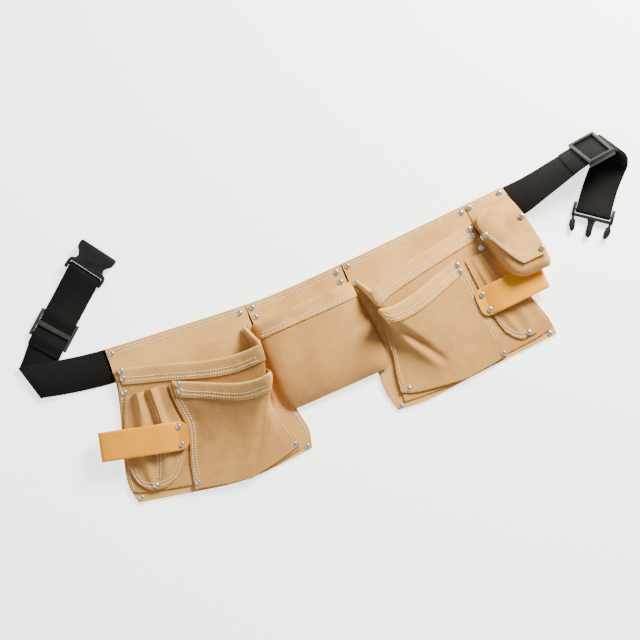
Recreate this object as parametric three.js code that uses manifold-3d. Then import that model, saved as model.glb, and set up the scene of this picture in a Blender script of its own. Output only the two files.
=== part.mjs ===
// A carpenter's nail apron of split leather on a webbing waist belt, lying on its back.
// Lengths are millimetres, angles degrees, +Z is up and the floor is z = 0.
// The origin is on the back face of the webbing, at the middle of the belt; +X runs along the
// belt to the wearer's left, +Y points to the waist edge.
import * as THREE from "three";
import { mergeVertices } from "three/addons/utils/BufferGeometryUtils.js";
import Module from "manifold-3d";

const wasm = await Module();
wasm.setup();

// Driving sizes of the webbing and the leather.
const webWidth = 50;
const webThick = 1.8;
const leather = 2;
const hemLeather = 1.6;
const gap = 0.3;
const sheetGap = 0.9;
const layer = leather + sheetGap;

const radians = THREE.MathUtils.degToRad;
const lerp = THREE.MathUtils.lerp;

// The panels lean from the webbing's top face down to the floor at their lower edge.
const leftBag = { side: "left", mirror: -1, top: 210, drop: 240, turn: -6.41, x: -73.2, y: 4.1 };
const rightBag = { side: "right", mirror: 1, top: 193, drop: 231, turn: 1.65, x: 76, y: 2 };
const waistY = webWidth / 2 - 1;
const panelSlope = (webThick + gap) / (leftBag.drop - webWidth);
const panelLift = panelSlope * leftBag.drop;

// Heights of the pockets above what each is sewn to.
Object.assign(leftBag, { mainRise: 40, frontRise: 24, sleeveSwell: 10, loopTop: 21 });
Object.assign(rightBag, { mainRise: 35, frontRise: 21, sleeveSwell: 4, loopTop: 19 });
const hemDrop = 21;
const hemRows = 3;
const hemGap = 0.55;
// A rim needs room for its binding's back leg; the room ends at a share of the drop.
const hemRoom = hemLeather + 2 * hemGap;
Object.assign(leftBag, { mainRoom: [0.2, 0.32], frontRoom: [0.46, 0.62] });
Object.assign(rightBag, { mainRoom: [0.2, 0.32], frontRoom: [0.4, 0.56] });
const foldRound = 7;
const wallStep = 1.6 * layer;

// Each bag's panel edges: at is a share of the drop, inner and outer are shares of the top.
leftBag.edges = [
  { at: 0, inner: 0.002, outer: 1 },
  { at: 0.19, inner: -0.004, outer: 0.987 },
  { at: 0.35, inner: -0.045, outer: 1.019 },
  { at: 0.46, inner: -0.071, outer: 1.048 },
  { at: 0.69, inner: -0.122, outer: 1.114 },
  { at: 0.8, inner: -0.165, outer: 1.129 },
  { at: 0.86, inner: -0.16, outer: 1.119 },
  { at: 0.93, inner: -0.143, outer: 1.095 },
];
rightBag.edges = [
  { at: 0, inner: 0.002, outer: 1 },
  { at: 0.12, inner: 0.001, outer: 1.002 },
  { at: 0.22, inner: -0.016, outer: 1.012 },
  { at: 0.26, inner: -0.024, outer: 1.032 },
  { at: 0.33, inner: -0.038, outer: 1.055 },
  { at: 0.43, inner: -0.057, outer: 1.115 },
  { at: 0.72, inner: -0.104, outer: 1.166 },
  { at: 0.85, inner: -0.124, outer: 1.224 },
  { at: 0.965, inner: -0.088, outer: 1.218 },
];
// The panel's lower edge: out is a share of the top, at a share of the drop.
leftBag.foot = [
  { out: 0.967, at: 0.942 },
  { out: 0.733, at: 0.967 },
  { out: 0.481, at: 0.992 },
  { out: 0.29, at: 1 },
];
rightBag.foot = [
  { out: 0.974, at: 0.97 },
  { out: 0.663, at: 0.974 },
  { out: 0.35, at: 0.983 },
  { out: 0.13, at: 1 },
];

// Pocket sections: at is a share of the drop; flange, foot and fold are shares of the top;
// rise is a share of the pocket's own rise.
leftBag.main = [
  { at: 0.117, flange: 0.014, foot: 0.057, fold: -0.033, rise: 1 },
  { at: 0.254, flange: 0.01, foot: 0.057, fold: -0.033, rise: 1 },
  { at: 0.43, flange: 0.005, foot: 0.057, fold: -0.01, rise: 0.67 },
  { at: 0.545, flange: 0.005, foot: 0.057, fold: 0.045, rise: 0.43 },
  { at: 0.63, flange: 0.01, foot: 0.06, fold: 0.095, rise: 0.29 },
  { at: 0.73, flange: -0.014, foot: 0.029, fold: 0.162, rise: 0.15 },
  { at: 0.833, flange: -0.048, foot: -0.005, fold: 0.238, rise: 0.08 },
  { at: 0.892, flange: -0.067, foot: -0.024, fold: 0.286, rise: 0.055 },
  { at: 1, flange: -0.086, foot: -0.043, fold: 0.352, rise: 0.02 },
];
leftBag.front = [
  { at: 0.383, flange: 0.014, foot: 0.042, fold: -0.029, rise: 1 },
  { at: 0.43, flange: 0.01, foot: 0.042, fold: -0.029, rise: 1 },
  { at: 0.545, flange: 0.005, foot: 0.042, fold: 0.029, rise: 0.65 },
  { at: 0.63, flange: 0.01, foot: 0.043, fold: 0.076, rise: 0.42 },
  { at: 0.73, flange: -0.019, foot: 0.012, fold: 0.143, rise: 0.23 },
  { at: 0.833, flange: -0.052, foot: -0.021, fold: 0.219, rise: 0.12 },
  { at: 0.892, flange: -0.069, foot: -0.04, fold: 0.267, rise: 0.08 },
  { at: 1, flange: -0.086, foot: -0.06, fold: 0.333, rise: 0.02 },
];
rightBag.main = [
  { at: 0.147, flange: 0.023, foot: 0.047, fold: 0.104, rise: 1 },
  { at: 0.216, flange: 0.031, foot: 0.073, fold: 0.104, rise: 1 },
  { at: 0.277, flange: 0.047, foot: 0.098, fold: 0.106, rise: 1 },
  { at: 0.364, flange: 0.073, foot: 0.124, fold: 0.124, rise: 0.8 },
  { at: 0.489, flange: 0.083, foot: 0.14, fold: 0.187, rise: 0.52 },
  { at: 0.619, flange: 0.067, foot: 0.13, fold: 0.28, rise: 0.32 },
  { at: 0.701, flange: 0.041, foot: 0.096, fold: 0.337, rise: 0.21 },
  { at: 0.788, flange: 0.016, foot: 0.065, fold: 0.394, rise: 0.12 },
  { at: 0.887, flange: -0.005, foot: 0.047, fold: 0.461, rise: 0.06 },
  { at: 1, flange: -0.031, foot: 0.016, fold: 0.534, rise: 0.02 },
];
rightBag.front = [
  { at: 0.33, flange: 0.067, foot: 0.104, fold: 0.093, rise: 1 },
  { at: 0.364, flange: 0.073, foot: 0.108, fold: 0.104, rise: 1 },
  { at: 0.489, flange: 0.078, foot: 0.122, fold: 0.161, rise: 0.72 },
  { at: 0.619, flange: 0.062, foot: 0.111, fold: 0.254, rise: 0.42 },
  { at: 0.701, flange: 0.041, foot: 0.078, fold: 0.311, rise: 0.28 },
  { at: 0.788, flange: 0.01, foot: 0.047, fold: 0.368, rise: 0.16 },
  { at: 0.887, flange: -0.01, foot: 0.026, fold: 0.435, rise: 0.07 },
  { at: 1, flange: -0.036, foot: -0.005, fold: 0.508, rise: 0.02 },
];
// The front pocket's outer edge: out is a share of the top.
leftBag.frontEdge = [
  { at: 0.31, out: 0.652 },
  { at: 0.39, out: 0.655 },
  { at: 0.59, out: 0.619 },
  { at: 0.7, out: 0.643 },
  { at: 0.8, out: 0.676 },
  { at: 1, out: 0.705 },
];
rightBag.frontEdge = [
  { at: 0.28, out: 0.793 },
  { at: 0.47, out: 0.819 },
  { at: 0.68, out: 0.829 },
  { at: 1, out: 0.829 },
];
// Rims: at is the share of the way from the fold to the outer seam, down a share of the drop.
leftBag.mainRim = [
  { at: 0, down: 0.254 },
  { at: 0.11, down: 0.267 },
  { at: 0.22, down: 0.275 },
  { at: 0.43, down: 0.25 },
  { at: 0.64, down: 0.204 },
  { at: 0.97, down: 0.15 },
  { at: 1, down: 0.142 },
];
leftBag.frontRim = [
  { at: 0, down: 0.43 },
  { at: 0.13, down: 0.444 },
  { at: 0.29, down: 0.442 },
  { at: 0.62, down: 0.383 },
  { at: 1, down: 0.308 },
];
rightBag.mainRim = [
  { at: 0, down: 0.245 },
  { at: 0.035, down: 0.236 },
  { at: 0.075, down: 0.22 },
  { at: 0.31, down: 0.188 },
  { at: 0.61, down: 0.16 },
  { at: 1, down: 0.132 },
];
rightBag.frontRim = [
  { at: 0, down: 0.36 },
  { at: 0.076, down: 0.375 },
  { at: 0.18, down: 0.38 },
  { at: 0.41, down: 0.368 },
  { at: 0.64, down: 0.338 },
  { at: 1, down: 0.286 },
];
// Lower edges of the pockets: at is a share of the top, down a share of the drop.
leftBag.mainEnd = [
  { at: -0.095, down: 0.908 },
  { at: 0.286, down: 0.983 },
  { at: 0.7, down: 0.925 },
  { at: 0.914, down: 0.9 },
  { at: 1.09, down: 0.871 },
  { at: 1.14, down: 0.833 },
];
leftBag.frontEnd = [
  { at: -0.086, down: 0.883 },
  { at: 0.043, down: 0.929 },
  { at: 0.29, down: 0.994 },
  { at: 0.495, down: 0.979 },
  { at: 0.705, down: 0.954 },
];
rightBag.mainEnd = [
  { at: -0.052, down: 0.935 },
  { at: 0.311, down: 0.97 },
  { at: 0.777, down: 0.944 },
  { at: 1.166, down: 0.931 },
  { at: 1.24, down: 0.887 },
];
rightBag.frontEnd = [
  { at: -0.036, down: 0.866 },
  { at: 0.166, down: 0.944 },
  { at: 0.347, down: 0.974 },
  { at: 0.663, down: 0.965 },
  { at: 0.829, down: 0.948 },
];
// Where each pocket's rim meets the panel, as a share of the drop.
Object.assign(leftBag, { mainStart: 0.117, frontStart: 0.383 });
Object.assign(rightBag, { mainStart: 0.147, frontStart: 0.365 });

// Tool sleeves: inner, seam and outer are shares of the top, swell of the sleeve's own swell.
leftBag.sleeve = [
  { at: 0.304, inner: 0.675, seam: 0.829, outer: 0.971, swell: 1 },
  { at: 0.458, inner: 0.665, seam: 0.817, outer: 1.033, swell: 0.95 },
  { at: 0.588, inner: 0.638, seam: 0.838, outer: 1.067, swell: 0.85 },
  { at: 0.7, inner: 0.671, seam: 0.876, outer: 1.095, swell: 0.6 },
  { at: 0.8, inner: 0.729, seam: 0.914, outer: 1.076, swell: 0.3 },
  { at: 0.858, inner: 0.786, seam: 0.938, outer: 1.029, swell: 0.12 },
  { at: 0.888, inner: 0.867, seam: 0.943, outer: 0.976, swell: 0.04 },
];
rightBag.sleeve = [
  { at: 0.312, inner: 0.834, seam: 0.933, outer: 1.018, swell: 0.35 },
  { at: 0.476, inner: 0.839, seam: 0.948, outer: 1.062, swell: 0.8 },
  { at: 0.61, inner: 0.847, seam: 0.969, outer: 1.11, swell: 0.9 },
  { at: 0.693, inner: 0.85, seam: 0.979, outer: 1.135, swell: 0.7 },
  { at: 0.779, inner: 0.865, seam: 0.995, outer: 1.166, swell: 0.45 },
  { at: 0.866, inner: 0.912, seam: 1.016, outer: 1.15, swell: 0.15 },
  { at: 0.905, inner: 0.969, seam: 1.031, outer: 1.098, swell: 0.04 },
];
leftBag.sleeveHem = 16;
rightBag.sleeveHem = 9;

// Hammer loops: the riveted end's middle as shares of top and drop, the strap's heading and reach.
const loopWidth = 42;
const loopBend = 5.5;
leftBag.loop = { out: 0.626, down: 0.629, heading: 9, reach: 127, back: 50, flat: 16 };
rightBag.loop = { out: 0.782, down: 0.597, heading: 0.5, reach: 103, back: 42, flat: 14 };

// Rivets: out is a share of the top, down a share of the drop, on names what they hold.
leftBag.rivets = [
  { out: 0.967, down: 0.035, on: "panel" },
  { out: 0.052, down: 0.035, on: "panel" },
  { out: 1.067, down: 0.905, on: "panel" },
  { out: -0.114, down: 0.912, on: "panel" },
  { out: 0.938, down: 0.15, on: "mainHem" },
  { out: 0.938, down: 0.195, on: "mainHem" },
  { out: 0.962, down: 0.278, on: "main" },
  { out: 0.59, down: 0.325, on: "frontHem" },
  { out: 0.59, down: 0.37, on: "frontHem" },
  { out: 0.667, down: 0.92, on: "front" },
  { out: 0.943, down: 0.862, on: "sleeve" },
  { out: 0.676, down: 0.567, on: "loop" },
  { out: 0.693, down: 0.67, on: "loop" },
];
rightBag.rivets = [
  { out: 0.036, down: 0.029, on: "panel" },
  { out: 0.964, down: 0.036, on: "panel" },
  { out: -0.054, down: 0.955, on: "panel" },
  { out: 1.17, down: 0.945, on: "panel" },
  { out: 0.965, down: 0.15, on: "mainHem" },
  { out: 0.965, down: 0.193, on: "mainHem" },
  { out: 0.985, down: 0.283, on: "main" },
  { out: 0.765, down: 0.315, on: "frontHem" },
  { out: 0.765, down: 0.36, on: "frontHem" },
  { out: 0.798, down: 0.93, on: "front" },
  { out: 1.031, down: 0.882, on: "sleeve" },
  { out: 0.84, down: 0.547, on: "loop" },
  { out: 0.845, down: 0.65, on: "loop" },
];

// The centre section.
// Its top left corner reaches up to the left bag's corner.
const centre = { x: 2, y: 1.5, half: 75, drop: 162, rise: 13, cornerUp: 3 };
centre.step = leather + 2 * gap;
centre.sections = [
  { at: 0, left: 1, right: 0.974, lift: 0, rise: 0 },
  { at: 0.13, left: 0.995, right: 0.955, lift: 0, rise: 0.6 },
  { at: 0.186, left: 0.995, right: 0.96, lift: 0.6, rise: 0.72 },
  { at: 0.28, left: 0.996, right: 0.993, lift: 1, rise: 0.82 },
  { at: 0.43, left: 1.027, right: 1.027, lift: 1, rise: 0.95 },
  { at: 0.6, left: 1.053, right: 1.067, lift: 1, rise: 1 },
  { at: 0.77, left: 1.053, right: 1.093, lift: 1, rise: 1 },
  { at: 0.88, left: 1.047, right: 1.08, lift: 1, rise: 0.8 },
  { at: 0.96, left: 0.98, right: 1.027, lift: 1, rise: 0.4 },
  { at: 1, left: 0.907, right: 0.96, lift: 1, rise: 0.05 },
];
centre.rim = 0.186;

// The flap pouch at the right end, in the right bag's frame. left and right are shares of the
// pouch's width from the right panel's top corner, deep is a share of its depth.
const pouch = { width: 76, drop: 129, deep: 18, lift: 28.5, mouth: 0.21, swing: 22 };
pouch.sections = [
  { at: 0, left: 0.006, right: 0.81, deep: 0 },
  { at: 0.12, left: 0.01, right: 0.84, deep: 0 },
  { at: 0.21, left: 0.018, right: 0.86, deep: 0.5 },
  { at: 0.34, left: 0.05, right: 0.915, deep: 0.9 },
  { at: 0.55, left: 0.105, right: 0.962, deep: 1 },
  { at: 0.78, left: 0.175, right: 1, deep: 1 },
  { at: 0.9, left: 0.24, right: 1.012, deep: 0.95 },
  { at: 0.96, left: 0.33, right: 1.005, deep: 0.7 },
  { at: 1, left: 0.5, right: 0.95, deep: 0.1 },
];
pouch.flap = [
  { at: 0.108, left: 0.62, right: 0.83 },
  { at: 0.135, left: 0.33, right: 0.84 },
  { at: 0.19, left: 0.13, right: 0.85 },
  { at: 0.27, left: 0.06, right: 0.88 },
  { at: 0.4, left: 0.11, right: 0.93 },
  { at: 0.6, left: 0.27, right: 0.97 },
  { at: 0.8, left: 0.43, right: 1 },
  { at: 0.86, left: 0.52, right: 0.985 },
];

// Colours and finishes.
const finish = (color, roughness, metalness = 0) =>
  new THREE.MeshStandardMaterial({ color, roughness, metalness });
const tan = finish("#cfa982", 0.85);
const paleTan = finish("#d8b48c", 0.85);
const yellow = finish("#e0ad68", 0.6);
const webbing = finish("#262523", 0.9);
const greyPlastic = finish("#6e6c6a", 0.45);
const blackPlastic = finish("#2c2c2d", 0.45);
const nickel = finish("#c9c6c0", 0.3, 0.9);

const root = new THREE.Group();

// Monotone cubic through a table's column; at is scaled by along, the column by scale.
function curve(rows, column, scale = 1, along = 1) {
  const x = rows.map((r) => r.at * along);
  const y = rows.map((r) => r[column] * scale);
  const slope = x.slice(1).map((v, i) => (y[i + 1] - y[i]) / (v - x[i]));
  const tangent = x.map((_, i) => {
    const before = slope[Math.max(i - 1, 0)];
    const after = slope[Math.min(i, slope.length - 1)];
    return before * after <= 0 ? 0 : (2 * before * after) / (before + after);
  });
  return (at) => {
    if (at <= x[0]) return y[0];
    if (at >= x[x.length - 1]) return y[y.length - 1];
    const i = x.findIndex((v) => v > at) - 1;
    const h = x[i + 1] - x[i];
    const t = (at - x[i]) / h;
    const s = 1 - t;
    return (
      y[i] * s * s * (1 + 2 * t) +
      y[i + 1] * t * t * (3 - 2 * t) +
      h * t * s * (tangent[i] * s - tangent[i + 1] * t)
    );
  };
}

// Vertices and triangles as one geometry whose faces point outwards.
function closed(points, triangles) {
  let volume = 0;
  for (const [a, b, c] of triangles)
    volume += points[a].dot(new THREE.Vector3().crossVectors(points[b], points[c]));
  const index = triangles.flatMap(([a, b, c]) => (volume < 0 ? [a, c, b] : [a, b, c]));
  const geometry = new THREE.BufferGeometry().setFromPoints(points);
  geometry.setIndex(index);
  return geometry;
}

// The unit normal of a grid of points at one vertex.
function normalAt(grid, i, j) {
  const before = grid[Math.max(i - 1, 0)][j];
  const after = grid[Math.min(i + 1, grid.length - 1)][j];
  const left = grid[i][Math.max(j - 1, 0)];
  const right = grid[i][Math.min(j + 1, grid[i].length - 1)];
  const down = new THREE.Vector3().subVectors(after, before);
  const across = new THREE.Vector3().subVectors(right, left);
  return down.cross(across).normalize();
}

// A sheet of one thickness about a grid of middle points, closed round its rim.
function sheet(grid, thickness) {
  const rows = grid.length;
  const columns = grid[0].length;
  const points = [];
  for (const half of [0.5, -0.5])
    grid.forEach((row, i) =>
      row.forEach((p, j) =>
        points.push(p.clone().addScaledVector(normalAt(grid, i, j), half * thickness)),
      ),
    );
  const top = (i, j) => i * columns + j;
  const under = (i, j) => rows * columns + i * columns + j;
  const triangles = [];
  const quad = (a, b, c, d) => triangles.push([a, b, c], [a, c, d]);
  for (let i = 0; i + 1 < rows; i++)
    for (let j = 0; j + 1 < columns; j++) {
      quad(top(i, j), top(i, j + 1), top(i + 1, j + 1), top(i + 1, j));
      triangles.push([under(i, j), under(i + 1, j + 1), under(i, j + 1)]);
      triangles.push([under(i, j), under(i + 1, j), under(i + 1, j + 1)]);
    }
  const rim = [];
  for (let j = 0; j < columns; j++) rim.push([0, j]);
  for (let i = 1; i < rows; i++) rim.push([i, columns - 1]);
  for (let j = columns - 2; j >= 0; j--) rim.push([rows - 1, j]);
  for (let i = rows - 2; i > 0; i--) rim.push([i, 0]);
  rim.forEach(([i, j], k) => {
    const [m, n] = rim[(k + 1) % rim.length];
    quad(top(m, n), top(i, j), under(i, j), under(m, n));
  });
  return closed(points, triangles);
}

// A binding wrapped over a grid's first row, from leg rows down in front to one row behind.
function binding(grid, legRows) {
  const off = leather / 2 + hemGap + hemLeather / 2;
  const columns = grid[0].length;
  const rows = [];
  const along = (i, angle) => {
    const row = [];
    for (let j = 0; j < columns; j++) {
      const normal = normalAt(grid, i, j);
      if (normal.z < 0 && j > columns / 2) normal.negate();
      const up = new THREE.Vector3().subVectors(grid[i][j], grid[i + 1][j]).normalize();
      const offset = normal.multiplyScalar(Math.cos(radians(angle)) * off);
      offset.addScaledVector(up, Math.sin(radians(angle)) * off);
      row.push(grid[i][j].clone().add(offset));
    }
    rows.push(row);
  };
  for (let i = legRows; i > 0; i--) along(i, 0);
  for (const angle of [0, 45, 90, 135, 180]) along(0, angle);
  along(1, 180);
  return sheet(rows, hemLeather);
}

// A flat piece of leather cut along an outline of plan points.
function cutPiece(outline, thickness) {
  const shape = new THREE.Shape(outline.map(([x, y]) => new THREE.Vector2(x, y)));
  return new THREE.ExtrudeGeometry(shape, { depth: thickness, bevelEnabled: false });
}

// The left bag is the right bag's kind turned over in X, with its faces turned back.
function handed(geometry, mirror) {
  if (mirror > 0) return geometry;
  const g = geometry.index ? geometry.toNonIndexed() : geometry.clone();
  const p = g.attributes.position;
  const out = new Float32Array(p.count * 3);
  for (let i = 0; i < p.count; i += 3)
    [0, 2, 1].forEach((from, to) => {
      out[(i + to) * 3] = -p.getX(i + from);
      out[(i + to) * 3 + 1] = p.getY(i + from);
      out[(i + to) * 3 + 2] = p.getZ(i + from);
    });
  return new THREE.BufferGeometry().setAttribute("position", new THREE.BufferAttribute(out, 3));
}

function add(group, name, geometry, material) {
  const mesh = new THREE.Mesh(geometry, material);
  mesh.name = name;
  group.add(mesh);
  return mesh;
}

// Groups whose z = 0 is the leather panels' top face.
function leaning(x, y, turn) {
  const place = new THREE.Group();
  place.position.set(x, waistY + y, 0);
  place.rotation.z = radians(turn);
  root.add(place);
  const lean = new THREE.Group();
  lean.position.z = panelLift + leather;
  lean.rotation.x = Math.atan(panelSlope);
  place.add(lean);
  return lean;
}

// How a sheet sewn flat at one end rises towards a fold: s is 0 at the seam and 1 at the fold.
const rising = (s) => 0.45 * s + 0.55 * (1.5 * s * s - 0.5 * s * s * s);

// The surfaces of one bag: each gives a section's points at a distance down from the waist.
function bagSurfaces(bag) {
  const { top, drop } = bag;
  const column = (rows, name, scale) => curve(rows, name, scale, drop);
  const outer = column(bag.edges, "outer", top);
  const room = ([full, none], d) =>
    hemRoom * (1 - THREE.MathUtils.smoothstep(d, full * drop, none * drop));
  const main = {
    base: (d) => gap + leather / 2 + room(bag.mainRoom, d),
    flange: column(bag.main, "flange", top),
    foot: column(bag.main, "foot", top),
    fold: column(bag.main, "fold", top),
    rise: column(bag.main, "rise", bag.mainRise),
    edge: (d) => outer(d) - 1,
  };
  main.seam = (d) => main.edge(d) - 6;
  main.height = (x, d) => {
    const s = (main.seam(d) - x) / (main.seam(d) - main.fold(d));
    return main.base(d) + main.rise(d) * rising(THREE.MathUtils.clamp(s, 0, 1));
  };
  const frontFlange = column(bag.front, "flange", top);
  const frontFoot = column(bag.front, "foot", top);
  const front = {
    base: (x, d) => main.height(x, d) + layer + room(bag.frontRoom, d),
    flange: (d) => Math.min(frontFlange(d), front.foot(d) - 5),
    foot: (d) => Math.min(frontFoot(d), main.foot(d) - wallStep),
    fold: column(bag.front, "fold", top),
    rise: column(bag.front, "rise", bag.frontRise),
    edge: column(bag.frontEdge, "out", top),
  };
  front.seam = (d) => front.edge(d) - 6;
  front.height = (x, d) => {
    const s = (front.seam(d) - x) / (front.seam(d) - front.fold(d));
    return front.base(x, d) + front.rise(d) * rising(THREE.MathUtils.clamp(s, 0, 1));
  };
  return { main, front, outer };
}

// Shares of the face, from the fold to the seam, where a section has its points.
const faceShares = [0.1, 0.2, 0.34, 0.5, 0.67, 0.84, 1];

// One section of a pocket at a distance down: flange, foot, wall, fold and face as [x, z].
function section(pocket, d, floor, hip) {
  const wallFoot = new THREE.Vector2(pocket.foot(d), floor);
  const fold = new THREE.Vector2(pocket.fold(d), pocket.height(pocket.fold(d), d));
  const knee = hip(d, wallFoot, fold);
  const flange = new THREE.Vector2(pocket.flange(d), floor);
  const seam = pocket.seam(d);
  const faceAt = (share) => {
    const x = lerp(fold.x, seam, share);
    return new THREE.Vector2(x, pocket.height(x, d));
  };
  const towards = (from, to, far) =>
    from.clone().lerp(to, Math.min(far / Math.max(from.distanceTo(to), 1e-6), 0.45));
  const round = (before, corner, after) => [
    before,
    corner.clone().multiplyScalar(0.5).addScaledVector(before, 0.25).addScaledVector(after, 0.25),
    after,
  ];
  const footRound = round(towards(wallFoot, flange, 3), wallFoot, towards(wallFoot, knee, 3));
  const foldTurn = round(towards(fold, knee, foldRound), fold, faceAt(foldRound / (seam - fold.x)));
  return [
    flange,
    ...footRound,
    knee,
    ...foldTurn,
    ...faceShares.map(faceAt),
    new THREE.Vector2(pocket.edge(d), pocket.height(pocket.edge(d), d)),
  ];
}

// Which share of the rim each section point follows: below 0 is the wall, 0 the fold, 1 the seam.
const wallShares = [-1, -1, -0.97, -0.92, -0.5, -0.12, 0, 0.04];
const rimShares = [...wallShares, ...faceShares, 1.03];

// A pocket's grid: rows from the rim down, each point placed by its own distance down.
function pocketGrid(pocket, rim, end, start, top, drop, floor, hip) {
  const rimDown = curve(rim, "down", drop);
  const endDown = curve(end, "down", drop, top);
  const rows = [];
  const lowerRows = 7;
  for (let i = 0; i <= hemRows + lowerRows; i++)
    rows.push(
      rimShares.map((share, j) => {
        const wall = rimDown(0) + (start * drop - rimDown(0)) * Math.min(Math.max(-share, 0), 1);
        const first = share < 0 ? wall : rimDown(share);
        let last = drop * 0.9;
        for (let k = 0; k < 5; k++) last = endDown(section(pocket, last, floor, hip)[j].x);
        const hemEnd = first + hemDrop;
        const d =
          i <= hemRows
            ? first + (hemDrop * i) / hemRows
            : lerp(hemEnd, last, (i - hemRows) / lowerRows);
        const p = section(pocket, d, floor, hip)[j];
        return new THREE.Vector3(p.x, -d, p.y);
      }),
    );
  return rows;
}

// A panel's outline, its edges from the table and its lower edge from the foot points.
function panelOutline(bag) {
  const { top, drop } = bag;
  const inner = bag.edges.map((r) => [r.inner * top, -r.at * drop]);
  const outerEdge = bag.edges.map((r) => [r.outer * top, -r.at * drop]);
  const foot = bag.foot.map((r) => [r.out * top, -r.at * drop]);
  return [...outerEdge, ...foot, ...inner.reverse()];
}

// The double tool sleeve: two tubes between flat margins, on the main pocket's face.
function sleeveGrid(bag, surfaces) {
  const { top, drop } = bag;
  const read = (name, scale) => curve(bag.sleeve, name, scale, drop);
  const inner = read("inner", top);
  const seam = read("seam", top);
  const outer = read("outer", top);
  const swell = read("swell", bag.sleeveSwell);
  const first = bag.sleeve[0].at * drop;
  const last = bag.sleeve[bag.sleeve.length - 1].at * drop;
  const tube = [0, 0.14, 0.32, 0.5, 0.68, 0.86, 1];
  const rows = 9;
  const grid = [];
  for (let i = 0; i <= rows; i++) {
    const d = lerp(first, last, 1 - (1 - i / rows) ** 1.2);
    const width = outer(d) - inner(d);
    const margin = Math.min(bag.sleeveHem, width * 0.2);
    const seamHalf = 2;
    const lay = (from, to) => tube.map((t) => [lerp(from, to, t), Math.sin(Math.PI * t) ** 1.5]);
    const points = [
      [inner(d), 0],
      ...lay(inner(d) + margin, seam(d) - seamHalf),
      ...lay(seam(d) + seamHalf, outer(d) - margin),
      [outer(d) - 1, 0],
    ];
    grid.push(
      points.map(([x, s]) => {
        const z = surfaces.main.height(x, d) + layer + swell(d) * s;
        return new THREE.Vector3(x, -d, z);
      }),
    );
  }
  return grid;
}

// A hammer loop: a strap from its riveted end out over the sleeve, round a bend and back.
function loopGrid(bag, surfaces) {
  const { out, down, heading, reach, back, flat } = bag.loop;
  const half = loopWidth / 2;
  const endRound = 13;
  const endX = out * bag.top;
  const endD = down * bag.drop;
  const endZ = surfaces.main.height(endX, endD - half) + 2 * layer + gap;
  const topZ = bag.loopTop;
  const bendAt = reach - loopBend;
  const path = [];
  for (const a of [0, 1.5, 4, 8, 13]) path.push([a, endZ]);
  path.push([flat, endZ + 0.3]);
  path.push([flat + 10, lerp(endZ, topZ, 0.55)]);
  path.push([flat + 22, lerp(endZ, topZ, 0.95)]);
  path.push([lerp(flat + 22, bendAt, 0.5), topZ + 0.6]);
  path.push([bendAt, topZ]);
  for (const angle of [30, 60, 90, 120, 150, 180])
    path.push([
      bendAt + loopBend * Math.sin(radians(angle)),
      topZ - loopBend + loopBend * Math.cos(radians(angle)),
    ]);
  path.push([reach - back * 0.55, topZ - 2 * loopBend]);
  path.push([reach - back, topZ - 2 * loopBend + 0.4]);
  const ahead = new THREE.Vector3(Math.cos(radians(heading)), Math.sin(radians(heading)), 0);
  const aside = new THREE.Vector3(-ahead.y, ahead.x, 0);
  return path.map(([a, z], i) => {
    const cut = i < 5 ? endRound - a : 0;
    const w = half - endRound + Math.sqrt(endRound ** 2 - Math.max(cut, 0) ** 2 * 0.97);
    return [1, 0.33, -0.33, -1].map((side) =>
      new THREE.Vector3(endX, -endD, z)
        .addScaledVector(ahead, a)
        .addScaledVector(aside, side * w),
    );
  });
}

// A rivet's domed cap, with its flat side on z = 0.
const rivetRadius = 4.2;
const rivetHeight = 2;
function rivetCap() {
  const profile = [
    [0, 0],
    [rivetRadius, 0],
    [rivetRadius, 0.25 * rivetHeight],
    [0.6 * rivetRadius, 0.85 * rivetHeight],
    [0, rivetHeight],
  ].map(([r, z]) => new THREE.Vector2(r, z));
  return new THREE.LatheGeometry(profile, 8).rotateX(Math.PI / 2);
}
let rivets = 0;
function rivet(group, x, y, z, mirror = 1) {
  rivets += 1;
  const mesh = add(group, "rivet_" + String(rivets).padStart(2, "0"), rivetCap(), nickel);
  mesh.position.set(mirror * x, y, z);
}

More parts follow.
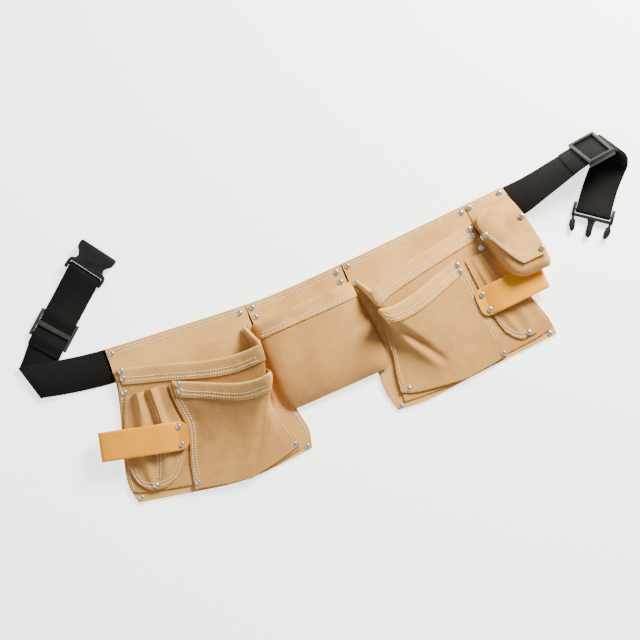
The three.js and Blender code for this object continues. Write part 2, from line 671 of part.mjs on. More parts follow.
// One bag: panel, main pocket, front pocket, their bindings, sleeve and hammer loop.
function buildBag(bag) {
  const { side, mirror, top, drop } = bag;
  const group = leaning(bag.x, bag.y, bag.turn);
  const surfaces = bagSurfaces(bag);
  const put = (name, geometry, material) =>
    add(group, name + "_" + side, handed(geometry, mirror), material);
  put("panel", cutPiece(panelOutline(bag), leather).translate(0, 0, -leather), tan);
  const straight = (d, foot, fold) => foot.clone().lerp(fold, 0.5);
  const mainGrid = pocketGrid(
    surfaces.main, bag.mainRim, bag.mainEnd, bag.mainStart, top, drop, gap + leather / 2, straight,
  );
  put("main_pocket", sheet(mainGrid, leather), tan);
  const bound = mainGrid.map((row) => row.slice(3, -1));
  put("main_hem", binding(bound, hemRows), paleTan);
  const clear = (d, foot, fold) => {
    const z = surfaces.main.rise(d) + layer;
    const t = THREE.MathUtils.clamp((z - foot.y) / Math.max(fold.y - foot.y, 1e-6), 0.2, 0.8);
    const line = foot.clone().lerp(fold, t);
    return new THREE.Vector2(Math.min(line.x, surfaces.main.fold(d) - wallStep), line.y);
  };
  const frontGrid = pocketGrid(
    surfaces.front, bag.frontRim, bag.frontEnd, bag.frontStart, top, drop,
    gap + leather / 2 + layer, clear,
  );
  put("front_pocket", sheet(frontGrid, leather), tan);
  put("front_hem", binding(frontGrid.map((row) => row.slice(5, -1)), hemRows), paleTan);
  put("sleeve", sheet(sleeveGrid(bag, surfaces), leather), tan);
  put("loop", sheet(loopGrid(bag, surfaces), leather), yellow);
  const hemTop = leather / 2 + hemGap + hemLeather;
  const on = {
    panel: () => 0,
    main: (x, d) => surfaces.main.height(x, d) + leather / 2 + 0.9,
    mainHem: (x, d) => surfaces.main.height(x, d) + hemTop + 0.4,
    front: (x, d) => surfaces.front.height(x, d) + leather / 2,
    frontHem: (x, d) => surfaces.front.height(x, d) + hemTop + 1,
    flange: () => gap + leather + layer,
    sleeve: (x, d) => surfaces.main.height(x, d) + layer + leather / 2 + 1.1,
    loop: () => surfaces.main.height(bag.loop.out * top, bag.loop.down * drop - loopWidth / 2)
      + 2 * layer + 2 * gap + leather / 2 + 0.8,
  };
  for (const r of bag.rivets) {
    const x = r.out * top;
    const d = r.down * drop;
    rivet(group, x, -d, on[r.on](x, d) + gap, mirror);
  }
  return { group, surfaces };
}

buildBag(leftBag);
const right = buildBag(rightBag);

// The centre section: its back steps up over the bags' inner edges, its pocket is a turned bag.
function buildCentre() {
  const group = leaning(0, centre.y, 0);
  const { drop, half, x: middle } = centre;
  const read = (name, scale) => curve(centre.sections, name, scale, drop);
  const leftEdge = read("left", half);
  const rightEdge = read("right", half);
  const lift = read("lift", centre.step);
  const rise = read("rise", centre.rise);
  const backRows = [0, 0.08, 0.16, 0.2, 0.24, 0.28, 0.45, 0.65, 0.85, 0.93, 1];
  const across = [-1, -0.5, 0, 0.5, 1];
  const back = backRows.map((at) =>
    across.map((c) => {
      const d = at * drop;
      const x = middle + c * (c < 0 ? leftEdge(d) : rightEdge(d));
      const up = at === 0 && c === -1 ? centre.cornerUp : 0;
      return new THREE.Vector3(x, up - d, lift(d) - leather / 2);
    }),
  );
  add(group, "panel_centre", sheet(back, leather), tan);
  const front = [-1, -0.985, -0.945, -0.88, -0.75, -0.45, 0, 0.45, 0.75, 0.88, 0.945, 0.985, 1];
  const rim = centre.rim * drop;
  const rows = [0, 7, 14, 21].map((d) => rim + d);
  for (const at of [0.45, 0.6, 0.75, 0.85, 0.92, 0.965, 1]) rows.push(at * drop);
  const pocket = rows.map((d) =>
    front.map((c) => {
      const x = middle + c * (c < 0 ? leftEdge(d) : rightEdge(d));
      const side = Math.sqrt(1 - Math.abs(c) ** 5);
      return new THREE.Vector3(x, -d, lift(d) + gap + leather / 2 + rise(d) * side);
    }),
  );
  add(group, "centre_pocket", sheet(pocket, leather), tan);
  add(group, "centre_hem", binding(pocket, hemRows), paleTan);
  for (const [side, down] of [[-0.9, 0.028], [-0.905, 0.117], [0.84, 0.045], [0.835, 0.138]])
    rivet(group, middle + side * half, -down * drop, lift(down * drop) + 3 * gap);
}
buildCentre();

// The flap pouch: its back is raised at the lower edge, where it lies on the hammer loop.
function buildPouch() {
  const { group } = right;
  const { width, drop, deep, lift, mouth, swing } = pouch;
  const start = rightBag.top;
  const backZ = (x, d) =>
    lift * THREE.MathUtils.smoothstep(x - start, 0, swing) * (d / drop) - leather / 2;
  const read = (rows, name, scale) => curve(rows, name, scale, drop);
  const leftEdge = read(pouch.sections, "left", width);
  const rightEdge = read(pouch.sections, "right", width);
  const depth = read(pouch.sections, "deep", deep);
  const grid = (downs, acrosses, edges, height) =>
    downs.map((at) =>
      acrosses.map((c) => {
        const d = at * drop;
        const x = start + lerp(edges[0](d), edges[1](d), 0.5 + c / 2);
        return new THREE.Vector3(x, -d, backZ(x, d) + height(c, d));
      }),
    );
  const plain = [-1, -0.6, -0.2, 0.3, 1];
  const downs = [0, 0.12, 0.25, 0.4, 0.6, 0.78, 0.9, 0.96, 1];
  const back = grid(downs, plain, [leftEdge, rightEdge], () => 0);
  add(group, "pouch_back", sheet(back, leather), tan);
  const sides = [-1, -0.97, -0.9, -0.75, -0.4, 0, 0.4, 0.75, 0.9, 0.97, 1];
  const bodyDowns = [mouth, 0.28, 0.4, 0.6, 0.78, 0.88, 0.94, 0.98, 1];
  const body = grid(bodyDowns, sides, [leftEdge, rightEdge], (c, d) =>
    leather + gap + depth(d) * Math.sqrt(1 - Math.abs(c) ** 6));
  add(group, "pouch_body", sheet(body, leather), tan);
  const flapEdges = [read(pouch.flap, "left", width), read(pouch.flap, "right", width)];
  const over = [
    { at: 0.14, up: 0 },
    { at: 0.2, up: 0.72 },
    { at: 0.27, up: 0.95 },
    { at: 0.36, up: 1.02 },
    { at: 1, up: 1.04 },
  ];
  const rise = curve(over, "up", deep, drop);
  const flapDowns = [0.108, 0.135, 0.16, 0.19, 0.22, 0.27, 0.36, 0.5, 0.65, 0.8, 0.86];
  const flap = grid(flapDowns, [-1, -0.5, 0, 0.5, 1], flapEdges, (c, d) =>
    leather + 2 * gap + rise(d) + layer * THREE.MathUtils.smoothstep(d, 0.14 * drop, 0.2 * drop));
  add(group, "pouch_flap", sheet(flap, leather), tan);
  const hold = (share, at, z) => rivet(group, start + share * width, -at * drop, z);
  for (const share of [0.085, 0.715])
    hold(share, 0.05, backZ(start + share * width, 0.05 * drop) + leather / 2 + 5 * gap);
  const flapTop = (share, at) => {
    const d = at * drop;
    return backZ(start + share * width, d) + 2 * leather + rise(d) + layer + 8 * gap;
  };
  for (const [share, at] of [[0.11, 0.4], [0.86, 0.385], [0.94, 0.79]])
    hold(share, at, flapTop(share, at));
}
buildPouch();

// The belt's strip and its hardware are laid out about the middle of the waist edge.
const belt = new THREE.Group();
belt.position.y = waistY;
root.add(belt);

// Sliders and buckles, and how far the webbing's middle turns round their bars.
const slider = { rail: 4.6, along: 42, endBar: 5, midBar: 6.4, bar: 2.3 };
slider.across = webWidth + 2 * (slider.rail + gap);
const turnRadius = 3.7;
const barAlong = 3.6;
const barHigh = 3.2;
const webStep = webThick + gap;
const leftSlider = { x: -336.8, y: 82.4, heading: 37.9 };
const female = { x: -263.2, y: 139.6, heading: 33, bar: 5.5, high: 11.5 };
// The right slider stands with the strap, so its two rows lie in its own plane.
const rightSlider = { x: 466, y: 5, z: 29.5, heading: 5, across: 108, roll: -50 };
const male = {
  x: rightSlider.x - 37.7, y: rightSlider.y - 91.3, heading: -128.1, bar: 4.6, barBack: 10,
};
// The female half's hollow and its two side windows, as shares of the webbing's width.
const cavity = { from: 0.24, to: 0.84, half: 0.44 };
const sideWindow = { from: 0.23, to: 0.4, near: 0.32, far: 0.68 };

// A cross line of the strip: its middle, where its upper edge points in plan, and its roll.
function crossLine(x, y, z, across, roll = 0, long = 1) {
  const flat = Math.cos(radians(roll));
  const half = new THREE.Vector3(
    Math.cos(radians(across)) * flat,
    Math.sin(radians(across)) * flat,
    Math.sin(radians(roll)),
  ).multiplyScalar((webWidth / 2) * long);
  const middle = new THREE.Vector3(x, y, z);
  return [middle.clone().add(half), middle.clone().sub(half)];
}
// A point some way along a heading from a start.
const along = ({ x, y, heading }, far) => [
  x + far * Math.cos(radians(heading)),
  y + far * Math.sin(radians(heading)),
];

// The left end, from its cut tail over the slider and round the buckle's bar to the crease.
function leftStrap() {
  const rows = [];
  const { heading } = leftSlider;
  const across = heading + 90;
  const flat = webThick / 2;
  const onBar = flat + webStep + slider.bar;
  const tail = [
    [-34.7, flat + webStep],
    [-28, flat + webStep],
    [-22.5, onBar],
    [-15, onBar],
    [-6, flat + webStep],
    [6, flat + webStep],
    [15, onBar],
    [22.5, onBar],
    [29, flat + webStep + 0.2],
    [58, flat + webStep + 0.4],
    [80, female.bar + turnRadius - 1.2],
  ];
  for (const [far, z] of tail) rows.push(crossLine(...along(leftSlider, far), z, across));
  const turnAcross = female.heading + 90;
  for (let angle = 0; angle <= 180; angle += 30) {
    const out = turnRadius * Math.sin(radians(angle));
    const z = female.bar + turnRadius * Math.cos(radians(angle));
    rows.push(crossLine(...along(female, out), z, turnAcross));
  }
  for (const [far, z] of [[75, 1.1], [50, flat], [0, flat], [-26, flat]])
    rows.push(crossLine(...along(leftSlider, far), z, across));
  const crease = { x: -397, y: 27.3, across: 102.85, radius: 2.2 };
  rows.push(crossLine(-374, 49.5, flat, 119, 0, 1.01));
  rows.push(crossLine(-386, 37.5, flat, 110, 0, 1.05));
  for (let angle = 180; angle >= 0; angle -= 30) {
    const out = crease.radius * Math.sin(radians(angle));
    const z = flat + crease.radius * (1 + Math.cos(radians(angle)));
    const place = along({ ...crease, heading: crease.across + 90 }, out);
    rows.push(crossLine(...place, z, crease.across, 0, 1.1));
  }
  const top = flat + 2 * crease.radius;
  rows.push(crossLine(-378, 22.2, top, 90, 0, 1.02));
  rows.push(crossLine(-354, 16.2, flat + webStep + 0.6, 78.5));
  rows.push(crossLine(-334, 11.6, 1.8, 80));
  rows.push(crossLine(-310, 6.9, flat, 82));
  return rows;
}

// Behind the leather the strip follows the panels' top edges.
function behindLeather() {
  const flat = webThick / 2;
  const rows = [];
  const under = (bag, far) => {
    const across = 90 + bag.turn;
    const [x, y] = along({ x: bag.x, y: bag.y, heading: bag.turn }, bag.mirror * far);
    const [mx, my] = along({ x, y, heading: across }, -webWidth / 2);
    rows.push(crossLine(mx, my, flat, across));
  };
  for (const share of [1, 0.66, 0.33, 0.06]) under(leftBag, share * leftBag.top);
  for (const x of [-35, 0, 40]) rows.push(crossLine(x, centre.y - webWidth / 2, flat, 90));
  for (const share of [0.05, 0.35, 0.68, 1]) under(rightBag, share * rightBag.top);
  return rows;
}

// The right end twists up on its lower edge, folds over and runs back to the male buckle.
// Rows give the middle of the strip, its across direction and its roll.
const rightRoute = [
  { x: 301.5, y: -18, z: 1.7, across: 93.4, roll: -1.8 },
  { x: 333.7, y: -16.1, z: 3.6, across: 97.7, roll: -6 },
  { x: 351, y: -15.1, z: 8.8, across: 92.4, roll: -18 },
  { x: 368.5, y: -12, z: 13.4, across: 91.3, roll: -30 },
  { x: 401, y: -5.5, z: 18.5, across: 95, roll: -38.5 },
  { x: 425, y: -0.5, z: 26.5, across: 101, roll: -45, tail: true },
  { slider: -24, tail: true },
  { slider: 24, tail: true },
  { x: rightSlider.x + 29.5, y: rightSlider.y - 4, z: 22.5, across: 113.5, roll: -43, tail: true },
  { x: rightSlider.x + 31.8, y: rightSlider.y - 10, z: 16, across: 116, roll: -31, tail: true },
  { x: rightSlider.x + 30, y: rightSlider.y - 17, z: 10, across: 117, roll: -15, tail: true },
  { x: rightSlider.x + 25, y: rightSlider.y - 24, z: 5.2, across: 119, roll: -4.5, tail: true },
  { x: rightSlider.x + 15.5, y: rightSlider.y - 31.5, z: 3, across: 125, roll: 0, tail: true },
  { x: rightSlider.x + 2, y: rightSlider.y - 44, z: 3, across: 134, roll: 0, tail: true },
  { x: rightSlider.x - 11, y: rightSlider.y - 58, z: 3, across: 141, roll: 0, tail: true },
];
function sliderFrame({ x, y, z, heading, across, roll }) {
  const [upper, lower] = crossLine(x, y, z, across, roll);
  const aside = upper.clone().sub(lower).normalize();
  const ahead = new THREE.Vector3(Math.cos(radians(heading)), Math.sin(radians(heading)), 0);
  ahead.z = -(ahead.x * aside.x + ahead.y * aside.y) / aside.z;
  ahead.normalize();
  return { upper, lower, ahead, aside, face: new THREE.Vector3().crossVectors(ahead, aside) };
}
function rightStrap() {
  const { upper, lower, ahead } = sliderFrame(rightSlider);
  const rows = rightRoute.map((r) =>
    r.slider
      ? [upper, lower].map((p) => p.clone().addScaledVector(ahead, r.slider))
      : crossLine(r.x, r.y, r.z, r.across, r.roll),
  );
  const middle = (row) => row[0].clone().add(row[1]).multiplyScalar(0.5);
  const tail = [];
  rightRoute.forEach((r, i) => {
    if (!r.tail) return;
    const next = rows[Math.min(i + 1, rows.length - 1)];
    const travel = middle(next).sub(middle(rows[Math.min(i, rows.length - 2)]));
    const across = rows[i][0].clone().sub(rows[i][1]);
    const face = travel.cross(across).normalize().multiplyScalar(webStep);
    tail.unshift(rows[i].map((p) => p.clone().add(face)));
  });
  const across = male.heading - 90;
  const bar = along(male, -male.barBack);
  const barPlace = { x: bar[0], y: bar[1], heading: male.heading };
  rows.push(crossLine(...along(barPlace, -16), 5.6, across));
  for (let angle = 0; angle <= 180; angle += 30) {
    const out = turnRadius * Math.sin(radians(angle));
    const z = male.bar + turnRadius * Math.cos(radians(angle));
    rows.push(crossLine(...along(barPlace, out), z, across));
  }
  rows.push(crossLine(...along(barPlace, -16), webThick / 2, across));
  return [...rows, ...tail];
}

add(belt, "belt_webbing", sheet([...leftStrap(), ...behindLeather(), ...rightStrap()], webThick), webbing);

// A closed geometry as a manifold solid, and a solid back as a geometry.
function solid(geometry) {
  const g = geometry.clone();
  g.deleteAttribute("normal");
  g.deleteAttribute("uv");
  const merged = mergeVertices(g, 1e-4);
  return new wasm.Manifold(
    new wasm.Mesh({
      numProp: 3,
      vertProperties: merged.attributes.position.array,
      triVerts: new Uint32Array(merged.index.array),
    }),
  );
}
function geometryOf(made) {
  const mesh = made.getMesh();
  const geometry = new THREE.BufferGeometry();
  geometry.setAttribute("position", new THREE.BufferAttribute(mesh.vertProperties, 3));
  geometry.setIndex(new THREE.BufferAttribute(mesh.triVerts, 1));
  return geometry;
}
// A box from one corner to the other.
function block([x0, y0, z0], [x1, y1, z1]) {
  const box = new THREE.BoxGeometry(x1 - x0, y1 - y0, z1 - z0);
  return solid(box.translate((x0 + x1) / 2, (y0 + y1) / 2, (z0 + z1) / 2));
}
// A plate cut to an outline, between two heights.
const plate = (outline, z0, z1) => solid(cutPiece(outline, z1 - z0).translate(0, 0, z0));

// A three-bar slider about its middle: x along the strap. The end bars and the middle bar
// stand at different heights, so the strap passes over one kind and under the other.
function sliderBody(endZ, midZ) {
  const { across, along: long, rail, endBar, midBar, bar } = slider;
  const low = Math.min(endZ, midZ);
  const high = Math.max(endZ, midZ) + bar;
  const halfLong = long / 2;
  const halfAcross = across / 2;
  let made = block([-halfLong, halfAcross - rail, low], [halfLong, halfAcross, high]);
  made = made.add(block([-halfLong, -halfAcross, low], [halfLong, rail - halfAcross, high]));
  for (const end of [-1, 1]) {
    const x = end * (halfLong - endBar / 2);
    made = made.add(block(
      [x - endBar / 2, -halfAcross, endZ], [x + endBar / 2, halfAcross, endZ + bar]));
  }
  return made.add(block([-midBar / 2, -halfAcross, midZ], [midBar / 2, halfAcross, midZ + bar]));
}

function buildHardware() {
  const put = (name, made, place, material) => {
    const mesh = add(belt, name, geometryOf(made), material);
    mesh.position.set(place.x, place.y, 0);
    mesh.rotation.z = radians(place.heading);
    return mesh;
  };
  const under = webThick + gap;
  put("slider_left", sliderBody(under, under + webStep), leftSlider, greyPlastic);

  const armIn = webWidth / 2 + 3 * gap;
  const armWide = 4.4;
  const armOut = armIn + armWide;
  const slotEnd = turnRadius + webThick / 2 + gap;
  const side = [
    [-8, armIn], [-8, armOut - 1], [-5, armOut], [4, armOut], [9, armOut - 2], [12, 22.5], [17, 21],
    [22, 24], [26, 28], [32, 29.5], [37, 29], [38.8, 27.5],
  ];
  const outline = [...side, ...side.slice(1).map(([u, v]) => [u, -v]).reverse(), [-8, -armIn],
    [slotEnd, -armIn], [slotEnd, armIn]];
  let body = plate(outline, gap, gap + female.high);
  const wall = 2.6;
  const inside = gap + female.high - wall;
  const hollow = (from, to, v1, v2) =>
    block([from * webWidth, Math.min(v1, v2) * webWidth, gap + wall],
      [to * webWidth, Math.max(v1, v2) * webWidth, inside]);
  body = body.subtract(hollow(cavity.from, cavity.to, -cavity.half, cavity.half));
  for (const v of [-1, 1])
    body = body.subtract(
      hollow(sideWindow.from, sideWindow.to, v * sideWindow.near, v * sideWindow.far));
  const barHalf = barAlong / 2;
  body = body.add(block([-barHalf, -armIn - 1, female.bar - barHigh / 2],
    [barHalf, armIn + 1, female.bar + barHigh / 2]));
  put("buckle_female", body, female, greyPlastic);

  const low = male.bar - 2.4;
  const high = male.bar + 2.4;
  let frame = block([-20.5, armIn, low], [0, armOut, high]);
  frame = frame.add(block([-20.5, -armOut, low], [0, -armIn, high]));
  frame = frame.add(block([-4.6, -armOut, low], [0, armOut, high]));
  frame = frame.add(block([-male.barBack - barHalf, -armOut, male.bar - barHigh / 2],
    [-male.barBack + barHalf, armOut, male.bar + barHigh / 2]));
  const prong = [[-1, 25.5], [3, 25.2], [6, 22.5], [14, 21], [20, 21.5], [22.5, 23.5], [21, 26.5],
    [14, 30], [8, 30.5], [5, 28.5], [-1, 28.8]];
  frame = frame.add(plate(prong, low + 0.6, high - 0.6));
  frame = frame.add(plate(prong.map(([u, v]) => [u, -v]).reverse(), low + 0.6, high - 0.6));
  const tongue = [[-1, -7], [3, -5], [8, -4.4], [21, -4.4], [24.6, -2.6], [25.6, 0], [24.6, 2.6],
    [21, 4.4], [8, 4.4], [3, 5], [-1, 7]];
  frame = frame.add(plate(tongue, low + 0.8, high - 0.8));
  put("buckle_male", frame, male, blackPlastic);

  const turned = sliderBody(webThick / 2 + webStep + gap, -webThick / 2 - gap - slider.bar);
  const mesh = add(belt, "slider_right", geometryOf(turned), blackPlastic);
  const { ahead, aside, face } = sliderFrame(rightSlider);
  mesh.setRotationFromMatrix(new THREE.Matrix4().makeBasis(ahead, aside, face));
  mesh.position.set(rightSlider.x, rightSlider.y, rightSlider.z);
}
buildHardware();

export default root;
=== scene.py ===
"""A leather carpenter's nail apron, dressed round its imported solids.

The leather and webbing are smoothed copies of the solids' shells. Stitches, rivets and
moulded edges are added to them. Sizes in the tables are millimetres, meshes are metres.
"""

import logging
import math
from contextlib import contextmanager
from dataclasses import dataclass, field
from enum import Enum
from typing import Iterable, Iterator, Sequence

import bmesh
import bpy
from mathutils import Matrix, Vector, noise
from mathutils.bvhtree import BVHTree


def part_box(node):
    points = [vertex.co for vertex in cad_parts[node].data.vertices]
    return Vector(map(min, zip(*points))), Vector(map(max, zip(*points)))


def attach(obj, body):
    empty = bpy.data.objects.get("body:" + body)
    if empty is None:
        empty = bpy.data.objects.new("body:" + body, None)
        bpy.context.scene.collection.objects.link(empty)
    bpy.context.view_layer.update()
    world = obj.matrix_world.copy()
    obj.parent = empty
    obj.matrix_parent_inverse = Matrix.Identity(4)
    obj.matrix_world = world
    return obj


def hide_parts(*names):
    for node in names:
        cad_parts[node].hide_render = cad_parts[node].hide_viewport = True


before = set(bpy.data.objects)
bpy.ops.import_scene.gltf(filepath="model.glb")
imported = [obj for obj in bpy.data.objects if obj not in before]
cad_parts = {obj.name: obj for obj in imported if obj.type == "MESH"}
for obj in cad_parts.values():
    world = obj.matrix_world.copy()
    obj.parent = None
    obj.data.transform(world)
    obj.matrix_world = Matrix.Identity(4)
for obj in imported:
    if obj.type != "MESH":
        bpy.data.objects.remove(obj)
bpy.ops.object.select_all(action="DESELECT")
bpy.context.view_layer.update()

LOG = logging.getLogger("nail_apron")
MM = 0.001
BODY = "root"
MERGE = 0.01 * MM
# Rays start this far above the floor, in metres, and go straight down.
ABOVE = 0.4
DOWN = Vector((0.0, 0.0, -1.0))
# The seed of the leather's ripple, so that every run gives the same shapes.
SEED = 7
# The mix node's colour sockets, by their places in its lists.
MIX_FIRST, MIX_SECOND, MIX_RESULT = 6, 7, 2

Colour = tuple[float, float, float]
Span = tuple[float, float]
Line = tuple[tuple[float, float], ...]


class Slot(str, Enum):
    """The record's material slots."""

    TAN = "tan_leather"
    YELLOW = "yellow_leather"
    WEBBING = "webbing"
    GREY = "slider_grey"
    BLACK = "buckle_plastic"
    NICKEL = "nickel"


class Held(str, Enum):
    """How a sheet is held."""

    LAID = "laid"
    FOLDED = "folded"


class Side(Enum):
    """The edge of a piece that a row of stitches follows."""

    TOP = 1
    BOTTOM = -1


class Shader:
    """A material's node tree, with short calls for its nodes."""

    def __init__(self, name: str) -> None:
        """Starts a material that reads Object coordinates.

        Args:
            name: The material's name.
        """
        self.material = bpy.data.materials.new(name)
        self.material.use_nodes = True
        self.tree = self.material.node_tree
        self.surface = self.tree.nodes["Principled BSDF"]
        self.place = self.tree.nodes.new("ShaderNodeTexCoord").outputs["Object"]

    def link(self, source: bpy.types.NodeSocket, target: bpy.types.NodeSocket) -> None:
        """Joins two sockets."""
        self.tree.links.new(source, target)

    def set(self, **values: object) -> None:
        """Sets the surface's own sockets; a name's underscores stand for spaces."""
        for name, value in values.items():
            self.surface.inputs[name.replace("_", " ")].default_value = value

    def noise(
        self, scale: float, detail: float = 4.0, rough: float = 0.55, warp: float = 0.0
    ) -> bpy.types.NodeSocket:
        """Adds a noise texture.

        Args:
            scale: Repeats in a metre.
            detail: The number of octaves.
            rough: The share that each finer octave adds.
            warp: The distortion.

        Returns:
            The noise value's socket.
        """
        node = self.tree.nodes.new("ShaderNodeTexNoise")
        node.inputs["Scale"].default_value = scale
        node.inputs["Detail"].default_value = detail
        node.inputs["Roughness"].default_value = rough
        node.inputs["Distortion"].default_value = warp
        self.link(self.place, node.inputs["Vector"])
        return node.outputs[0]

    def cells(self, scale: float) -> bpy.types.NodeSocket:
        """Adds a cell texture and returns its distance socket."""
        node = self.tree.nodes.new("ShaderNodeTexVoronoi")
        node.inputs["Scale"].default_value = scale
        self.link(self.place, node.inputs["Vector"])
        return node.outputs["Distance"]

    def wave(self, scale: float, turn: float, source: object = None) -> bpy.types.NodeSocket:
        """Adds straight bands.

        Args:
            scale: Repeats in a metre, times two pi.
            turn: The bands' turn about Z, in degrees.
            source: The coordinates' socket, or None for Object coordinates.

        Returns:
            The bands' value socket.
        """
        mapping = self.tree.nodes.new("ShaderNodeMapping")
        mapping.inputs["Rotation"].default_value[2] = math.radians(turn)
        self.link(source or self.place, mapping.inputs["Vector"])
        node = self.tree.nodes.new("ShaderNodeTexWave")
        node.inputs["Scale"].default_value = scale
        node.inputs["Distortion"].default_value = 0.0
        self.link(mapping.outputs["Vector"], node.inputs["Vector"])
        return node.outputs[1]

    def ramp(
        self, value: bpy.types.NodeSocket, stops: Sequence[tuple[float, tuple[float, ...]]]
    ) -> bpy.types.NodeSocket:
        """Turns a value into a colour.

        Args:
            value: The value's socket.
            stops: Places from 0 to 1 with their colours.

        Returns:
            The colour's socket.
        """
        node = self.tree.nodes.new("ShaderNodeValToRGB")
        elements = node.color_ramp.elements
        while len(elements) < len(stops):
            elements.new(0.5)
        for element, (at, colour) in zip(elements, stops):
            element.position = at
            element.color = (*colour, 1.0)
        self.link(value, node.inputs["Fac"])
        return node.outputs["Color"]

    def blend(
        self,
        mode: str,
        share: float,
        first: bpy.types.NodeSocket,
        second: bpy.types.NodeSocket,
    ) -> bpy.types.NodeSocket:
        """Mixes two colours.

        Args:
            mode: Blender's name for the way of mixing.
            share: How much of the second shows.
            first: The colour underneath.
            second: The colour on top.

        Returns:
            The mixed colour's socket.
        """
        node = self.tree.nodes.new("ShaderNodeMix")
        node.data_type = "RGBA"
        node.blend_type = mode
        node.inputs[0].default_value = share
        self.link(first, node.inputs[MIX_FIRST])
        self.link(second, node.inputs[MIX_SECOND])
        return node.outputs[MIX_RESULT]

    def bump(
        self, height: bpy.types.NodeSocket, depth: float, strength: float, under: object = None
    ) -> bpy.types.NodeSocket:
        """Raises a relief.

        Args:
            height: The relief's value socket.
            depth: Its depth in millimetres.
            strength: From 0 to 1.
            under: The normal of the relief below it.

        Returns:
            The normal's socket.
        """
        node = self.tree.nodes.new("ShaderNodeBump")
        node.inputs["Distance"].default_value = depth * MM
        node.inputs["Strength"].default_value = strength
        self.link(height, node.inputs["Height"])
        if under is not None:
            self.link(under, node.inputs["Normal"])
        return node.outputs["Normal"]


@dataclass(frozen=True)
class Suede:
    """Rough split leather: a short nap, soft mottling and shallow wrinkles."""

    name: str
    light: Colour = (0.61, 0.32, 0.095)
    middle: Colour = (0.53, 0.27, 0.078)
    dark: Colour = (0.42, 0.21, 0.068)
    mottle: float = 14.0
    wrinkle: float = 70.0
    nap: float = 800.0

    def make(self) -> bpy.types.Material:
        """Builds the material."""
        shader = Shader(self.name)
        broad = shader.ramp(
            shader.noise(self.mottle, 5.0, 0.6, 0.4),
            ((0.3, self.dark), (0.5, self.middle), (0.72, self.light)),
        )
        grey = ((0.25, (0.72, 0.70, 0.68)), (0.75, (1.0, 1.0, 1.0)))
        nap = shader.noise(self.nap, 3.0, 0.7)
        colour = shader.blend("MULTIPLY", 0.35, broad, shader.ramp(nap, grey))
        scuffs = shader.noise(5.0 * self.mottle, 6.0, 0.7)
        colour = shader.blend("MULTIPLY", 0.4, colour, shader.ramp(scuffs, grey))
        shader.link(colour, shader.surface.inputs["Base Color"])
        shader.set(Roughness=0.92, Specular_IOR_Level=0.12, Sheen_Weight=0.04)
        shader.set(Sheen_Roughness=0.5, Sheen_Tint=(1.0, 0.9, 0.76, 1.0))
        wrinkles = shader.bump(shader.noise(self.wrinkle, 5.0, 0.6, 0.6), 1.1, 0.35)
        fibres = shader.bump(nap, 0.25, 0.5, wrinkles)
        shader.link(fibres, shader.surface.inputs["Normal"])
        return shader.material


@dataclass(frozen=True)
class SmoothLeather:
    """Dyed grain leather with a satin face and fine pores."""

    name: str
    light: Colour = (0.78, 0.325, 0.009)
    dark: Colour = (0.64, 0.23, 0.004)

    def make(self) -> bpy.types.Material:
        """Builds the material."""
        shader = Shader(self.name)
        cloud = shader.ramp(
            shader.noise(22.0, 4.0, 0.5), ((0.3, self.dark), (0.62, self.light))
        )
        shader.link(cloud, shader.surface.inputs["Base Color"])
        gloss = shader.ramp(
            shader.noise(60.0, 4.0), ((0.3, (0.5,) * 3), (0.7, (0.66,) * 3))
        )
        shader.link(gloss, shader.surface.inputs["Roughness"])
        shader.set(Specular_IOR_Level=0.25)
        pores = shader.bump(shader.cells(900.0), 0.12, 0.35)
        creases = shader.bump(shader.noise(120.0, 5.0, 0.6), 0.3, 0.25, pores)
        shader.link(creases, shader.surface.inputs["Normal"])
        return shader.material


@dataclass(frozen=True)
class Weave:
    """Heavy webbing: ribs across the strip crossed by its warp yarns."""

    name: str
    light: Colour = (0.0065, 0.0058, 0.0052)
    dark: Colour = (0.0025, 0.0022, 0.002)
    rib: float = 110.0
    yarn: float = 150.0

    def make(self) -> bpy.types.Material:
        """Builds the material."""
        shader = Shader(self.name)
        uv = shader.tree.nodes.new("ShaderNodeUVMap")
        uv.uv_map = "strip"
        ribs = shader.wave(self.rib, 90.0, uv.outputs["UV"])
        yarns = shader.wave(self.yarn, 0.0, uv.outputs["UV"])
        weave = shader.blend("MULTIPLY", 0.75, ribs, yarns)
        tint = shader.ramp(weave, ((0.0, self.dark), (0.8, self.light)))
        fuzz = shader.ramp(
            shader.noise(260.0, 4.0, 0.7), ((0.3, (0.7,) * 3), (0.7, (1.0,) * 3))
        )
        colour = shader.blend("MULTIPLY", 0.7, tint, fuzz)
        shader.link(colour, shader.surface.inputs["Base Color"])
        shader.set(Roughness=0.82, Specular_IOR_Level=0.15, Sheen_Weight=0.01)
        relief = shader.bump(weave, 0.3, 0.5)
        shader.link(relief, shader.surface.inputs["Normal"])
        return shader.material


@dataclass(frozen=True)
class Moulded:
    """Moulded plastic with a fine spark texture."""

    name: str
    colour: Colour
    worn: Colour

    def make(self) -> bpy.types.Material:
        """Builds the material."""
        shader = Shader(self.name)
        tint = shader.ramp(
            shader.noise(45.0, 5.0, 0.65), ((0.35, self.colour), (0.75, self.worn))
        )
        shader.link(tint, shader.surface.inputs["Base Color"])
        gloss = shader.ramp(
            shader.noise(90.0, 4.0), ((0.3, (0.36,) * 3), (0.7, (0.5,) * 3))
        )
        shader.link(gloss, shader.surface.inputs["Roughness"])
        shader.set(Specular_IOR_Level=0.3)
        spark = shader.bump(shader.noise(1800.0, 2.0, 0.6), 0.06, 0.35)
        shader.link(spark, shader.surface.inputs["Normal"])
        return shader.material


